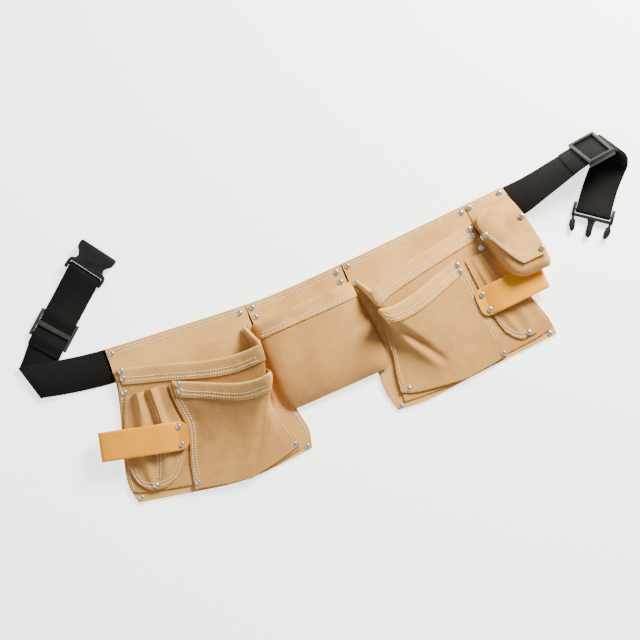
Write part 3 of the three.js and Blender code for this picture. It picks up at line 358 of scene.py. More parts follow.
@dataclass(frozen=True)
class Nickel:
    """Bright plated metal with light handling marks."""

    name: str

    def make(self) -> bpy.types.Material:
        """Builds the material."""
        shader = Shader(self.name)
        tint = shader.ramp(
            shader.noise(300.0, 4.0), ((0.3, (0.78, 0.7, 0.57)), (0.7, (0.97, 0.91, 0.79)))
        )
        shader.link(tint, shader.surface.inputs["Base Color"])
        gloss = shader.ramp(
            shader.noise(700.0, 4.0), ((0.3, (0.14,) * 3), (0.7, (0.34,) * 3))
        )
        shader.link(gloss, shader.surface.inputs["Roughness"])
        shader.set(Metallic=1.0)
        dents = shader.bump(shader.noise(500.0, 3.0), 0.05, 0.3)
        shader.link(dents, shader.surface.inputs["Normal"])
        return shader.material


@dataclass(frozen=True)
class Thread:
    """Thick undyed sewing thread."""

    name: str

    def make(self) -> bpy.types.Material:
        """Builds the material."""
        shader = Shader(self.name)
        tint = shader.ramp(
            shader.noise(400.0, 3.0),
            ((0.3, (0.66, 0.56, 0.42)), (0.7, (0.84, 0.75, 0.61))),
        )
        shader.link(tint, shader.surface.inputs["Base Color"])
        shader.set(Roughness=0.8, Sheen_Weight=0.2)
        plies = shader.bump(shader.wave(500.0, 35.0), 0.12, 0.5)
        shader.link(plies, shader.surface.inputs["Normal"])
        return shader.material


@dataclass(frozen=True)
class Local:
    """A section's own plane: x runs outwards along its top edge and d runs down."""

    x: float
    y: float
    turn: float = 0.0
    mirror: float = 1.0

    def place(self, x: float, d: float) -> Vector:
        """The point of the part, in metres, at a local place in millimetres."""
        angle = math.radians(self.turn)
        cos, sin = math.cos(angle), math.sin(angle)
        east = self.x + x * self.mirror * cos + d * sin
        north = self.y + x * self.mirror * sin - d * cos
        return Vector((east * MM, north * MM, 0.0))


def select_only(piece: bpy.types.Object) -> None:
    """Makes one object the active and only selected one."""
    bpy.ops.object.select_all(action="DESELECT")
    piece.select_set(True)
    bpy.context.view_layer.objects.active = piece


def new_object(name: str, mesh: bpy.types.Mesh) -> bpy.types.Object:
    """Puts a mesh into the scene and makes its object the only selected one."""
    piece = bpy.data.objects.new(name, mesh)
    bpy.context.scene.collection.objects.link(piece)
    select_only(piece)
    return piece


@contextmanager
def reshaped(mesh: bpy.types.Mesh) -> Iterator[bmesh.types.BMesh]:
    """Opens a mesh for editing and writes it back at the end."""
    shape = bmesh.new()
    shape.from_mesh(mesh)
    yield shape
    shape.to_mesh(mesh)
    shape.free()


def merged_copy(node: str, name: str) -> bpy.types.Object:
    """Copies a solid's mesh and merges its loose triangles.

    Args:
        node: The CAD node.
        name: The new piece's name.

    Returns:
        The new object.
    """
    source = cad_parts[node].data
    mesh = bpy.data.meshes.new(name)
    mesh.from_pydata(
        [v.co[:] for v in source.vertices], [], [p.vertices[:] for p in source.polygons]
    )
    with reshaped(mesh) as shape:
        bmesh.ops.remove_doubles(shape, verts=shape.verts, dist=MERGE)
    return new_object(name, mesh)


def apply_modifier(piece: bpy.types.Object, kind: str, **settings: object) -> None:
    """Adds one modifier to a piece and applies it."""
    select_only(piece)
    modifier = piece.modifiers.new(kind.lower(), kind)
    for name, value in settings.items():
        setattr(modifier, name, value)
    bpy.ops.object.modifier_apply(modifier=modifier.name)


def smooth(piece: bpy.types.Object, angle: float) -> None:
    """Shades a piece smooth, apart from edges sharper than an angle in degrees."""
    select_only(piece)
    bpy.ops.object.shade_smooth_by_angle(angle=math.radians(angle))


def dress(
    piece: bpy.types.Object, material: bpy.types.Material, nodes: Iterable[str]
) -> None:
    """Gives a piece its material and body, and hides the solids it stands for."""
    piece.data.materials.clear()
    piece.data.materials.append(material)
    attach(piece, BODY)
    named = tuple(nodes)
    if named:
        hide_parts(*named)


@dataclass(frozen=True)
class Tuck:
    """A crease pressed into a sheet, with a soft ridge on one side of it.

    Each point is an x and a d with the crease's depth there, in millimetres. The ridge is a
    share of that depth, and stands a number of the crease's widths to its side.
    """

    local: Local
    points: tuple[tuple[float, float, float], ...]
    width: float = 7.0
    ridge: float = 0.5
    ridge_side: float = 1.0
    ridge_off: float = 1.9

    def lift(self, x: float, y: float) -> float:
        """How far the sheet's point at x and y, in metres, moves up."""
        best = None
        placed = [(self.local.place(a, b), depth) for a, b, depth in self.points]
        for (start, one), (end, two) in zip(placed, placed[1:]):
            run = end - start
            off = Vector((x, y, 0.0)) - start
            share = min(1.0, max(0.0, off.dot(run) / run.length_squared))
            away = off - run * share
            if best is None or away.length < abs(best[0]):
                turn = 1.0 if run.cross(off).z > 0 else -1.0
                best = (away.length * turn, one + (two - one) * share)
        distance, depth = best
        wide = self.width * MM
        valley = math.exp(-((distance / wide) ** 2))
        hill = math.exp(-((distance / wide - self.ridge_off * self.ridge_side) ** 2))
        return depth * MM * (self.ridge * hill - valley)


@dataclass(frozen=True)
class Cut:
    """One piece of leather or webbing and how it was cut.

    The flat size is the rectangle it is cut from, in millimetres, and the share is the part
    of that rectangle that it fills; neither is used. Levels, wave and crease say how its shell
    is softened.
    """

    node: str
    finish: str
    slot: Slot
    flat: Span
    share: float
    held: Held = Held.FOLDED
    rests_on: tuple[str, ...] = ()
    levels: int = 2
    wave: float = 0.35
    crease: float = 0.75
    tucks: tuple[Tuck, ...] = ()


def panel(node: str, flat: Span, share: float) -> Cut:
    """A back panel, which lies flat and keeps its cut corners."""
    return Cut(node, "back", Slot.TAN, flat, share, Held.LAID, levels=1, wave=0.0, crease=1.0)


@dataclass
class Leather:
    """Turns shells into soft sheets.

    The slow wave has a finer one on it, and pushes sideways less than up and down.
    """

    finishes: dict[str, bpy.types.Material]
    fold_angle: float = 48.0
    quad_angle: float = 35.0
    quad_skew: float = 80.0
    smooth_angle: float = 60.0
    wave_length: float = 26.0
    finer: float = 2.7
    fine_share: float = 0.35
    sideways: float = 0.4
    pieces: dict[str, bpy.types.Object] = field(default_factory=dict)

    def quads(self, mesh: bpy.types.Mesh, crease: float) -> None:
        """Joins triangles into quads and creases the cut edges."""
        limit = math.radians(self.fold_angle)
        with reshaped(mesh) as shape:
            bmesh.ops.join_triangles(
                shape,
                faces=shape.faces,
                angle_face_threshold=math.radians(self.quad_angle),
                angle_shape_threshold=math.radians(self.quad_skew),
            )
            layer = shape.edges.layers.float.new("crease_edge")
            for edge in shape.edges:
                if len(edge.link_faces) == 2 and edge.calc_face_angle(0.0) > limit:
                    edge[layer] = crease

    def ripple(self, mesh: bpy.types.Mesh, height: float) -> None:
        """Moves a mesh's points by a slow wave, the same on both faces of a sheet."""
        scale = 1.0 / (self.wave_length * MM)
        for vertex in mesh.vertices:
            push = noise.noise_vector(vertex.co * scale)
            fine = noise.noise_vector(vertex.co * scale * self.finer)
            push = push + fine * self.fine_share
            push.x *= self.sideways
            push.y *= self.sideways
            vertex.co += push * height * MM

    def make(self, cut: Cut) -> bpy.types.Object:
        """Builds one sheet.

        Args:
            cut: The piece's own facts.

        Returns:
            The finished piece.
        """
        piece = merged_copy(cut.node, f"{cut.node}_skin")
        self.quads(piece.data, cut.crease)
        apply_modifier(
            piece,
            "SUBSURF",
            levels=cut.levels,
            render_levels=cut.levels,
            boundary_smooth="PRESERVE_CORNERS",
        )
        if cut.wave:
            self.ripple(piece.data, cut.wave)
        for tuck in cut.tucks:
            for vertex in piece.data.vertices:
                vertex.co.z += tuck.lift(vertex.co.x, vertex.co.y)
        smooth(piece, self.smooth_angle)
        dress(piece, self.finishes[cut.finish], (cut.node,))
        self.pieces[cut.node] = piece
        LOG.info("%s: %d faces", piece.name, len(piece.data.polygons))
        return piece


@dataclass
class Belt:
    """The webbing belt, with a strip UV map that its ribs follow."""

    leather: Leather
    cut: Cut = Cut(
        "belt_webbing", "webbing", Slot.WEBBING, (50, 1560), 1.0, levels=1, wave=0.0, crease=0.9
    )

    def build(self) -> None:
        """Builds the strip and its UV map."""
        piece = self.leather.make(self.cut)
        self.map_strip(piece.data)

    def map_strip(self, mesh: bpy.types.Mesh) -> None:
        """Lays each face's own width direction along U, so ribs cross the strip.

        Args:
            mesh: The strip's mesh, whose long thin faces lie across it.
        """
        layer = mesh.uv_layers.new(name="strip")
        for polygon in mesh.polygons:
            corners = [mesh.vertices[i].co for i in polygon.vertices]
            edges = [b - a for a, b in zip(corners, corners[1:] + corners[:1])]
            across = max(edges, key=lambda edge: edge.length).normalized()
            along = polygon.normal.cross(across)
            for loop, corner in zip(polygon.loop_indices, corners):
                layer.data[loop].uv = (corner.dot(across), corner.dot(along))


@dataclass
class Surfaces:
    """The finished sheets, read from above by rays."""

    leather: Leather
    search: float = 90.0
    stride: float = 0.7
    trees: dict[str, BVHTree] = field(default_factory=dict)

    def tree(self, node: str) -> BVHTree:
        """The search tree of one sheet."""
        if node not in self.trees:
            mesh = self.leather.pieces[node].data
            self.trees[node] = BVHTree.FromPolygons(
                [v.co for v in mesh.vertices], [p.vertices[:] for p in mesh.polygons]
            )
        return self.trees[node]

    def top(self, nodes: str, point: Vector) -> tuple[Vector, Vector] | None:
        """Finds the upper face at a point.

        Args:
            nodes: One sheet, or several with a bar between their names.
            point: The place, seen from above.

        Returns:
            The highest sheet's place and normal there, or None beside them all.
        """
        start = Vector((point.x, point.y, ABOVE))
        best = None
        for node in nodes.split("|"):
            place, normal, _, _ = self.tree(node).ray_cast(start, DOWN)
            if place is not None and (best is None or place.z > best[0].z):
                best = (place, normal if normal.z > 0 else -normal)
        return best

    def side_row(
        self,
        nodes: str,
        local: Local,
        span: Span,
        start: float,
        inset: float,
        step: float = 3.0,
    ) -> list[Vector]:
        """Follows a sheet's outer or inner edge down the section.

        Args:
            nodes: The sheets.
            local: The plane of their section.
            span: The first and last d.
            start: An x beyond the edge, on its own side.
            inset: The row's distance from that edge.
            step: The distance between points.

        Returns:
            The row's points.
        """
        row = []
        way = -1.0 if start > 0 else 1.0
        count = max(2, int(abs(span[1] - span[0]) / step))
        for i in range(count + 1):
            d = span[0] + (span[1] - span[0]) * i / count
            x = start
            while abs(x - start) < self.search:
                if self.top(nodes, local.place(x, d)) is not None:
                    row.append(local.place(x + way * inset, d))
                    break
                x += way * self.stride
        return row

    def edge_row(
        self,
        node: str,
        local: Local,
        span: Span,
        side: Side,
        inset: float,
        reach: Span,
        step: float = 3.0,
    ) -> list[Vector]:
        """Follows a sheet's upper or lower edge.

        Args:
            node: The sheet.
            local: The plane of its section.
            span: The first and last x.
            side: The edge to follow.
            inset: The row's distance from that edge.
            reach: The lowest and highest d to search.
            step: The distance between points.

        Returns:
            The row's points.
        """
        row = []
        count = max(2, int(abs(span[1] - span[0]) / step))
        for i in range(count + 1):
            x = span[0] + (span[1] - span[0]) * i / count
            d = reach[0] if side is Side.TOP else reach[1]
            while reach[0] <= d <= reach[1]:
                if self.top(node, local.place(x, d)) is not None:
                    row.append((x, d + inset * side.value))
                    break
                d += side.value
        smoothed = []
        for i, (x, _) in enumerate(row):
            near = row[max(0, i - 2) : i + 3]
            smoothed.append(local.place(x, sum(d for _, d in near) / len(near)))
        return smoothed


@dataclass
class Stitching:
    """Rows of thick thread, laid on the sheets stitch by stitch.

    Each line of the profile is a share of the stitch's length, the share of the radius that
    the thread has there, and its rise off the sheet, which is below it at both ends. Every
    other row starts half a pitch later.
    """

    surfaces: Surfaces
    material: bpy.types.Material
    pitch: float = 3.9
    length: float = 2.9
    radius: float = 0.6
    stretch: float = 1.8
    sides: int = 6
    starts: Span = (0.25, 0.75)
    smooth_angle: float = 60.0
    sewn: int = 0
    profile: tuple[tuple[float, float, float], ...] = (
        (0.0, 0.3, -0.15),
        (0.16, 0.9, 0.16),
        (0.5, 1.0, 0.3),
        (0.84, 0.9, 0.16),
        (1.0, 0.3, -0.15),
    )
    vertices: list[Vector] = field(default_factory=list)
    faces: list[list[int]] = field(default_factory=list)

    def row(self, node: str, points: Sequence[Vector]) -> None:
        """Sews along a line of points on one sheet, or the highest of several."""
        gaps = [(b - a).length for a, b in zip(points, points[1:])]
        total = sum(gaps)
        at = self.starts[self.sewn % 2] * self.pitch * MM
        self.sewn += 1
        while at + self.length * MM < total:
            first = self.along(points, gaps, at)
            second = self.along(points, gaps, at + self.length * MM)
            self.stitch(node, first, second)
            at += self.pitch * MM

    def edge(
        self,
        node: str,
        local: Local,
        span: Span,
        side: Side,
        insets: Span,
        reach: Span = (-4.0, 245.0),
    ) -> None:
        """Sews two rows along a sheet's upper or lower edge.

        Args:
            node: The sheet.
            local: The plane of its section.
            span: The first and last x.
            side: The edge to follow.
            insets: Each row's distance from that edge.
            reach: The lowest and highest d to search.
        """
        for inset in insets:
            self.row(node, self.surfaces.edge_row(node, local, span, side, inset, reach))

    @staticmethod
    def along(points: Sequence[Vector], gaps: Sequence[float], at: float) -> Vector:
        """The point at a distance along a line."""
        for start, end, gap in zip(points, points[1:], gaps):
            if at <= gap:
                return start.lerp(end, at / gap if gap else 0.0)
            at -= gap
        return points[-1]

    def stitch(self, node: str, first: Vector, second: Vector) -> None:
        """Lays one stitch between two places, seen from above."""
        ends = [self.surfaces.top(node, first), self.surfaces.top(node, second)]
        if None in ends:
            return
        (start, up), (end, other) = ends
        way = end - start
        if way.length > self.stretch * self.length * MM:
            return
        up = (up + other).normalized()
        side = way.cross(up).normalized()
        base = len(self.vertices)
        for share, width, rise in self.profile:
            middle = start.lerp(end, share) + up * rise * MM
            for i in range(self.sides):
                angle = 2 * math.pi * i / self.sides
                spoke = side * math.cos(angle) + up * math.sin(angle)
                self.vertices.append(middle + spoke * self.radius * width * MM)
        for ring in range(len(self.profile) - 1):
            low = base + ring * self.sides
            for i in range(self.sides):
                after = (i + 1) % self.sides
                self.faces.append(
                    [low + i, low + i + self.sides, low + after + self.sides, low + after]
                )
        last = base + (len(self.profile) - 1) * self.sides
        self.faces.append([base + i for i in range(self.sides)])
        self.faces.append([last + i for i in reversed(range(self.sides))])

    def finish(self, name: str) -> None:
        """Makes all rows sewn so far one piece."""
        mesh = bpy.data.meshes.new(name)
        mesh.from_pydata([v[:] for v in self.vertices], [], self.faces)
        with reshaped(mesh) as shape:
            bmesh.ops.recalc_face_normals(shape, faces=shape.faces)
        piece = new_object(name, mesh)
        smooth(piece, self.smooth_angle)
        dress(piece, self.material, ())
        LOG.info("%s: %d faces", name, len(self.faces))
        self.vertices, self.faces = [], []


@dataclass
class Rivets:
    """Round metal caps, modelled once and set at every rivet.

    Each step is how far the cap's face is set in, and how far it then rises.
    """

    surfaces: Surfaces
    material: bpy.types.Material
    radius: float = 4.2
    flange: float = 0.55
    edge: float = 0.16
    edge_angle: float = 35.0
    smooth_angle: float = 40.0
    corners: int = 28
    steps: tuple[tuple[float, float], ...] = ((0.7, 0.0), (0.35, 0.45), (1.1, 0.22), (1.2, 0.08))
    master: bpy.types.Mesh | None = None

    def model(self) -> None:
        """Models the cap: a disc whose face is stepped in and raised to a dome."""
        bpy.ops.mesh.primitive_cylinder_add(
            vertices=self.corners,
            radius=self.radius * MM,
            depth=self.flange * MM,
            location=(0.0, 0.0, self.flange * MM / 2),
        )
        cap = bpy.context.object
        bpy.ops.object.mode_set(mode="EDIT")
        bpy.ops.mesh.select_mode(type="FACE")
        bpy.ops.mesh.select_all(action="DESELECT")
        shape = bmesh.from_edit_mesh(cap.data)
        top = max(shape.faces, key=lambda face: face.calc_center_median().z)
        top.select_set(True)
        bmesh.update_edit_mesh(cap.data)
        for inset, lift in self.steps:
            bpy.ops.mesh.inset(thickness=inset * MM)
            bpy.ops.transform.translate(value=(0.0, 0.0, lift * MM))
        bpy.ops.object.mode_set(mode="OBJECT")
        bpy.ops.object.transform_apply(location=True, rotation=True, scale=True)
        apply_modifier(
            cap,
            "BEVEL",
            width=self.edge * MM,
            segments=2,
            limit_method="ANGLE",
            angle_limit=math.radians(self.edge_angle),
        )
        self.master = cap.data.copy()
        bpy.data.objects.remove(cap)

    @staticmethod
    def seat(place: Vector, normal: Vector) -> Matrix:
        """Where a cap goes on a sheet's face."""
        turn = Vector((0.0, 0.0, 1.0)).rotation_difference(normal).to_matrix().to_4x4()
        return Matrix.Translation(place) @ turn

    def set_caps(
        self, name: str, nodes: Sequence[str], extra: Sequence[tuple[str, Vector]]
    ) -> None:
        """Sets one sub-assembly's caps.

        Args:
            name: The piece's name.
            nodes: The rivet nodes it stands for.
            extra: Sheets and places of the rivets that have no node.
        """
        seats = []
        for node in nodes:
            low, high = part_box(node)
            middle = (low + high) / 2
            seats.append(Matrix.Translation((middle.x, middle.y, low.z)))
        for sheet, point in extra:
            found = self.surfaces.top(sheet, point)
            if found is not None:
                seats.append(self.seat(*found))
        vertices, faces = [], []
        for seat in seats:
            base = len(vertices)
            vertices += [(seat @ v.co)[:] for v in self.master.vertices]
            faces += [[base + i for i in p.vertices] for p in self.master.polygons]
        mesh = bpy.data.meshes.new(name)
        mesh.from_pydata(vertices, [], faces)
        piece = new_object(name, mesh)
        smooth(piece, self.smooth_angle)
        dress(piece, self.material, nodes)
        LOG.info("%s: %d caps", name, len(seats))


@dataclass
class Hardware:
    """Sliders and the two buckle halves, with moulded edges."""

    finishes: dict[str, bpy.types.Material]
    edge: float = 0.45
    edge_angle: float = 30.0
    flat_angle: float = 2.0
    smooth_angle: float = 35.0
    parts: tuple[tuple[str, str, Slot], ...] = (
        ("slider_left", "grey", Slot.GREY),
        ("slider_right", "black", Slot.BLACK),
        ("buckle_female", "black", Slot.BLACK),
        ("buckle_male", "black", Slot.BLACK),
    )

    def build(self) -> None:
        """Rounds each part's edges and dresses it."""
        for node, finish, slot in self.parts:
            piece = merged_copy(node, f"{node}_moulding")
            with reshaped(piece.data) as shape:
                bmesh.ops.dissolve_limit(
                    shape,
                    angle_limit=math.radians(self.flat_angle),
                    verts=shape.verts,
                    edges=shape.edges,
                )
            apply_modifier(
                piece,
                "BEVEL",
                width=self.edge * MM,
                segments=2,
                limit_method="ANGLE",
                angle_limit=math.radians(self.edge_angle),
                use_clamp_overlap=True,
            )
            smooth(piece, self.smooth_angle)
            dress(piece, self.finishes[finish], (node,))
            LOG.info("%s: %d faces", piece.name, len(piece.data.polygons))


def beside(local: Local, line: Line, offset: float) -> list[Vector]:
    """A copy of a line in a section's plane, moved to its side by an offset."""
    points = [Vector((x, d)) for x, d in line]
    moved = []
    for i, point in enumerate(points):
        before, after = points[max(0, i - 1)], points[min(len(points) - 1, i + 1)]
        way = (after - before).normalized()
        moved.append(point + Vector((-way.y, way.x)) * offset)
    return [local.place(p.x, p.y) for p in curved(moved)]


def curved(points: Sequence[Vector], parts: int = 6) -> list[Vector]:
    """A smooth line through some points, each gap between them split into parts."""
    line = []
    last = len(points) - 1
    for i in range(last):
        a, b = points[max(0, i - 1)], points[i]
        c, d = points[i + 1], points[min(last, i + 2)]
        for k in range(parts):
            t = k / parts
            line.append(
                0.5
                * (
                    2 * b
                    + (c - a) * t
                    + (2 * a - 5 * b + 4 * c - d) * t**2
                    + (3 * b - a - 3 * c + d) * t**3
                )
            )
    line.append(points[-1])
    return line


@dataclass
class Bag:
    """One bag: its back, pockets, sleeves and loop.

    Spans are the first and last x of a row of stitches. Lines are seams, each with its
    sheet. Rivets are a sheet with an x and a d, for those that have no node. Borders are
    rows down the bag's sides: their first and last d, and an x beyond the edge.
    """

    side: str
    local: Local
    cuts: tuple[Cut, ...]
    top_span: Span
    hem_spans: dict[str, Span]
    lines: tuple[tuple[str, Line], ...]
    rivets: tuple[tuple[str, float, float], ...]
    nodes: tuple[str, ...]
    borders: tuple[tuple[Span, float], ...]
    gap: float = 4.8
    top_insets: Span = (5.0, 9.8)
    hem_insets: Span = (4.0, 9.28)
    border_inset: float = 5.0
    top_reach: Span = (-8.0, 60.0)

    def build(self, leather: Leather) -> None:
        """Builds the bag's sheets."""
        for cut in self.cuts:
            leather.make(cut)

    def sew(self, stitching: Stitching) -> None:
        """Sews the top edge, the hems and the seams."""
        local = self.local
        back = f"panel_{self.side}"
        stitching.edge(back, local, self.top_span, Side.TOP, self.top_insets, self.top_reach)
        for hem, span in self.hem_spans.items():
            stitching.edge(hem, local, span, Side.BOTTOM, self.hem_insets)
        body = f"{back}|main_pocket_{self.side}"
        for span, start in self.borders:
            row = stitching.surfaces.side_row(body, local, span, start, self.border_inset)
            stitching.row(body, row)
        for node, line in self.lines:
            for offset in (0.0, self.gap):
                stitching.row(node, beside(local, line, offset))
        stitching.finish(f"stitches_{self.side}")

    def fasten(self, rivets: Rivets) -> None:
        """Sets the bag's rivets."""
        extra = [(node, self.local.place(x, d)) for node, x, d in self.rivets]
        rivets.set_caps(f"rivets_{self.side}", self.nodes, extra)


def numbered(first: int, last: int) -> tuple[str, ...]:
    """The names of a run of rivet nodes."""
    return tuple(f"rivet_{number:02d}" for number in range(first, last + 1))


LEFT = Local(-73.2, 28.1, -6.41, -1.0)
RIGHT = Local(76.0, 26.0, 1.65)
MIDDLE = Local(2.0, 25.5)


def left_bag() -> Bag:
    """The larger bag, on the left."""
    tan = Slot.TAN
    return Bag(
        side="left",
        local=LEFT,
        cuts=(
            panel("panel_left", (272, 240), 0.86),
            Cut("main_pocket_left", "pocket", tan, (270, 190), 0.865, levels=3, wave=0.55),
            Cut("main_hem_left", "hem", tan, (44, 225), 0.96, levels=3, wave=0.55),
            Cut(
                "front_pocket_left",
                "pocket",
                tan,
                (170, 155),
                0.885,
                levels=3,
                wave=0.7,
                tucks=(
                    Tuck(LEFT, ((2, 118, 0), (10, 138, 6), (30, 175, 4.5), (54, 210, 1))),
                    Tuck(
                        LEFT,
                        ((126, 100, 0.5), (118, 135, 2), (124, 170, 0.3)),
                        width=9.0,
                        ridge=0.3,
                    ),
                ),
            ),
            Cut("front_hem_left", "hem", tan, (44, 135), 0.96, levels=3, wave=0.7),
            Cut("sleeve_left", "pocket", tan, (110, 135), 0.84, levels=2, wave=0.4),
            Cut("loop_left", "strap", Slot.YELLOW, (27, 300), 1.0, levels=2, wave=0.15),
        ),
        top_span=(4.0, 206.0),
        hem_spans={"main_hem_left": (4.0, 208.0), "front_hem_left": (4.0, 132.0)},
        lines=(
            ("front_pocket_left", ((133, 96), (126, 141), (138, 191), (140, 215))),
            ("front_pocket_left", ((7, 151), (1, 172), (-6, 200))),
            (
                "sleeve_left",
                (
                    (226, 168), (222, 192), (212, 204), (192, 209),
                    (170, 205), (157, 190), (151, 178),
                ),
            ),
            ("sleeve_left", ((174, 88), (171, 118), (187, 178), (196, 200))),
        ),
        rivets=(
            ("panel_left", 11, 32),
            ("main_hem_left", 137, 71),
            ("front_pocket_left", -7.7, 210.5),
        ),
        nodes=numbered(1, 13),
        borders=(((50.0, 206.0), 262.0), ((112.0, 206.0), -62.0)),
    )


def right_bag() -> Bag:
    """The smaller bag, on the right."""
    tan = Slot.TAN
    return Bag(
        side="right",
        local=RIGHT,
        cuts=(
            panel("panel_right", (255, 231), 0.88),
            Cut("main_pocket_right", "pocket", tan, (250, 180), 0.893, levels=3, wave=0.55),
            Cut("main_hem_right", "hem", tan, (44, 185), 0.95, levels=3, wave=0.55),
            Cut(
                "front_pocket_right",
                "pocket",
                tan,
                (170, 160),
                0.88,
                levels=3,
                wave=0.7,
                tucks=(
                    Tuck(
                        RIGHT,
                        ((28, 106, 0), (38, 124, 7), (52, 147, 6.5), (69, 178, 3), (80, 197, 0)),
                        width=6.0,
                        ridge=0.55,
                        ridge_side=-1.0,
                    ),
                ),
            ),
            Cut("front_hem_right", "hem", tan, (44, 125), 0.96, levels=3, wave=0.7),
            Cut("sleeve_right", "pocket", tan, (62, 130), 0.845, levels=2, wave=0.3),
            Cut("loop_right", "strap", Slot.YELLOW, (27, 250), 0.99, levels=2, wave=0.15),
        ),
        top_span=(4.0, 190.0),
        hem_spans={"main_hem_right": (18.0, 190.0), "front_hem_right": (18.0, 150.0)},
        lines=(
            ("front_pocket_right", ((151, 88), (153, 130), (155, 160), (156, 195))),
            ("front_pocket_right", ((20, 129), (12, 162), (7, 182), (6, 196))),
            ("sleeve_right", ((167, 160), (170, 174), (177, 189), (190, 201), (204, 200))),
        ),
        rivets=(
            ("panel_right", 7.6, 34),
            ("panel_right", 8.3, 45),
            ("front_pocket_right", 10, 202),
            ("main_hem_right", 156, 71),
            ("loop_right", 219.5, 161),
        ),
        nodes=numbered(14, 26),
        borders=(((150.0, 200.0), 262.0), ((150.0, 206.0), -62.0)),
    )


@dataclass
class Centre:
    """The turned pocket between the bags."""

    local: Local = MIDDLE
    cuts: tuple[Cut, ...] = (
        panel("panel_centre", (160, 162), 0.985),
        Cut("centre_pocket", "pocket", Slot.TAN, (170, 150), 0.88, levels=3, wave=0.6),
        Cut("centre_hem", "hem", Slot.TAN, (39, 155), 0.98, levels=2, wave=0.5),
    )

    def build(self, leather: Leather, stitching: Stitching, rivets: Rivets) -> None:
        """Builds, sews and rivets the pocket."""
        for cut in self.cuts:
            leather.make(cut)
        stitching.edge("panel_centre", self.local, (-70, 70), Side.TOP, (5.0, 9.8))
        stitching.edge("centre_hem", self.local, (-72, 72), Side.BOTTOM, (3.0, 7.0))
        stitching.finish("stitches_centre")
        rivets.set_caps("rivets_centre", numbered(27, 30), ())


@dataclass
class Pouch:
    """The small flap pouch at the right end."""

    local: Local = RIGHT
    cuts: tuple[Cut, ...] = (
        Cut("pouch_back", "back", Slot.TAN, (80, 125), 0.88, wave=0.2),
        Cut("pouch_body", "pocket", Slot.TAN, (100, 120), 0.82, levels=2, wave=0.4),
        Cut("pouch_flap", "hem", Slot.TAN, (75, 100), 0.84, levels=3, wave=0.4),
    )

    def build(self, leather: Leather, stitching: Stitching, rivets: Rivets) -> None:
        """Builds, sews and rivets the pouch."""
        for cut in self.cuts:
            leather.make(cut)
        stitching.edge("pouch_flap", self.local, (202, 256), Side.BOTTOM, (4.0, 8.5))
        stitching.edge("pouch_back", self.local, (196, 262), Side.TOP, (5.0, 9.5))
        stitching.finish("stitches_pouch")
        rivets.set_caps("rivets_pouch", numbered(31, 35), ())


@dataclass(frozen=True)
class Lamp:
    """A square lamp: its place and side in metres and its power in watts."""

    name: str
    place: Sequence[float]
    side: float
    power: float


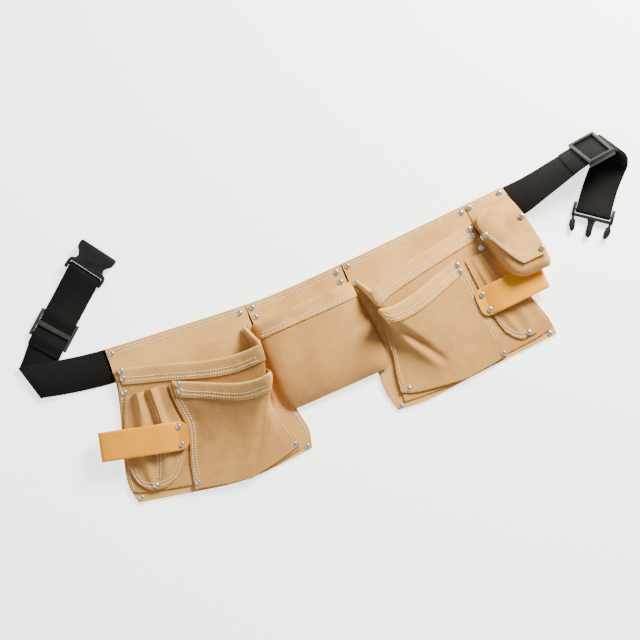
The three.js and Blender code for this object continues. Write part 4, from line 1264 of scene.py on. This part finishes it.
@dataclass
class Studio:
    """The pale floor, the lights and the camera over the apron."""

    aim: tuple[float, float] = (16.1, -34.8)
    turn: float = -24.0
    distance: float = 3.5
    view_width: float = 915.0
    sensor: float = 36.0
    clip: float = 50.0
    floor_size: float = 14.0
    floor_drop: float = 0.001
    world: float = 0.4
    glow: float = 2.0
    sky: tuple[float, float, float, float] = (0.84, 0.92, 1.0, 1.0)
    paper: tuple[float, float, float, float] = (0.93, 0.97, 1.0, 1.0)
    warm: Colour = (1.0, 0.955, 0.86)
    lamps: tuple[Lamp, ...] = (
        Lamp("key", (1.46, 0.82, 1.1), 0.7, 165.0),
        Lamp("fill", (-1.5, 0.2, 1.6), 2.0, 12.0),
    )

    def build(self) -> None:
        """Builds the studio."""
        self.lay_floor()
        self.light()
        self.set_camera()

    def lay_floor(self) -> None:
        """Lays the glowing paper floor, just under the apron."""
        bpy.ops.mesh.primitive_plane_add(
            size=self.floor_size, location=(0.0, 0.0, -self.floor_drop)
        )
        floor = bpy.context.object
        floor.name = "floor"
        paper = Shader("white_paper")
        tone = paper.ramp(paper.noise(3.0), ((0.3, (0.93,) * 3), (0.7, (0.95,) * 3)))
        paper.link(tone, paper.surface.inputs["Base Color"])
        paper.set(Roughness=0.9, Emission_Color=self.paper, Emission_Strength=self.glow)
        floor.data.materials.append(paper.material)

    def light(self) -> None:
        """Sets the sky and points each lamp at the apron."""
        world = bpy.data.worlds.new("studio")
        world.use_nodes = True
        sky = world.node_tree.nodes["Background"]
        sky.inputs["Color"].default_value = self.sky
        sky.inputs["Strength"].default_value = self.world
        bpy.context.scene.world = world
        for plan in self.lamps:
            light = bpy.data.lights.new(plan.name, "AREA")
            light.size = plan.side
            light.energy = plan.power
            light.color = self.warm
            lamp = bpy.data.objects.new(plan.name, light)
            lamp.location = plan.place
            lamp.rotation_euler = (-Vector(plan.place)).to_track_quat("-Z", "Y").to_euler()
            bpy.context.scene.collection.objects.link(lamp)

    def set_camera(self) -> None:
        """Hangs the camera over the apron, turned as the picture is."""
        camera = bpy.data.cameras.new("camera")
        camera.sensor_width = self.sensor
        camera.lens = self.sensor * self.distance / (self.view_width * MM)
        camera.clip_end = self.clip
        eye = bpy.data.objects.new("camera", camera)
        eye.location = (self.aim[0] * MM, self.aim[1] * MM, self.distance)
        eye.rotation_euler = (0.0, 0.0, math.radians(self.turn))
        bpy.context.scene.collection.objects.link(eye)
        bpy.context.scene.camera = eye


def finishes() -> dict[str, bpy.types.Material]:
    """All the apron's materials by short name."""
    return {
        "back": Suede(
            "suede_back",
            light=(0.80, 0.45, 0.145),
            middle=(0.70, 0.375, 0.112),
            dark=(0.55, 0.28, 0.08),
            mottle=11.0,
        ).make(),
        "pocket": Suede("suede_pocket").make(),
        "hem": Suede("suede_hem", light=(0.74, 0.425, 0.14), middle=(0.64, 0.35, 0.105)).make(),
        "strap": SmoothLeather("yellow_strap").make(),
        "webbing": Weave("black_webbing").make(),
        "grey": Moulded("grey_plastic", (0.022, 0.021, 0.02), (0.034, 0.033, 0.032)).make(),
        "black": Moulded("black_plastic", (0.004, 0.004, 0.004), (0.008, 0.008, 0.008)).make(),
        "nickel": Nickel("nickel_plate").make(),
        "thread": Thread("cream_thread").make(),
    }


def main() -> None:
    """Builds the apron piece by piece, then the studio."""
    logging.basicConfig(level=logging.INFO, format="%(message)s")
    noise.seed_set(SEED)
    materials = finishes()
    leather = Leather(materials)
    surfaces = Surfaces(leather)
    stitching = Stitching(surfaces, materials["thread"])
    rivets = Rivets(surfaces, materials["nickel"])
    rivets.model()
    Belt(leather).build()
    for bag in (left_bag(), right_bag()):
        bag.build(leather)
        bag.sew(stitching)
        bag.fasten(rivets)
    Centre().build(leather, stitching, rivets)
    Pouch().build(leather, stitching, rivets)
    Hardware(materials).build()
    Studio().build()


if __name__ == "__main__":
    main()
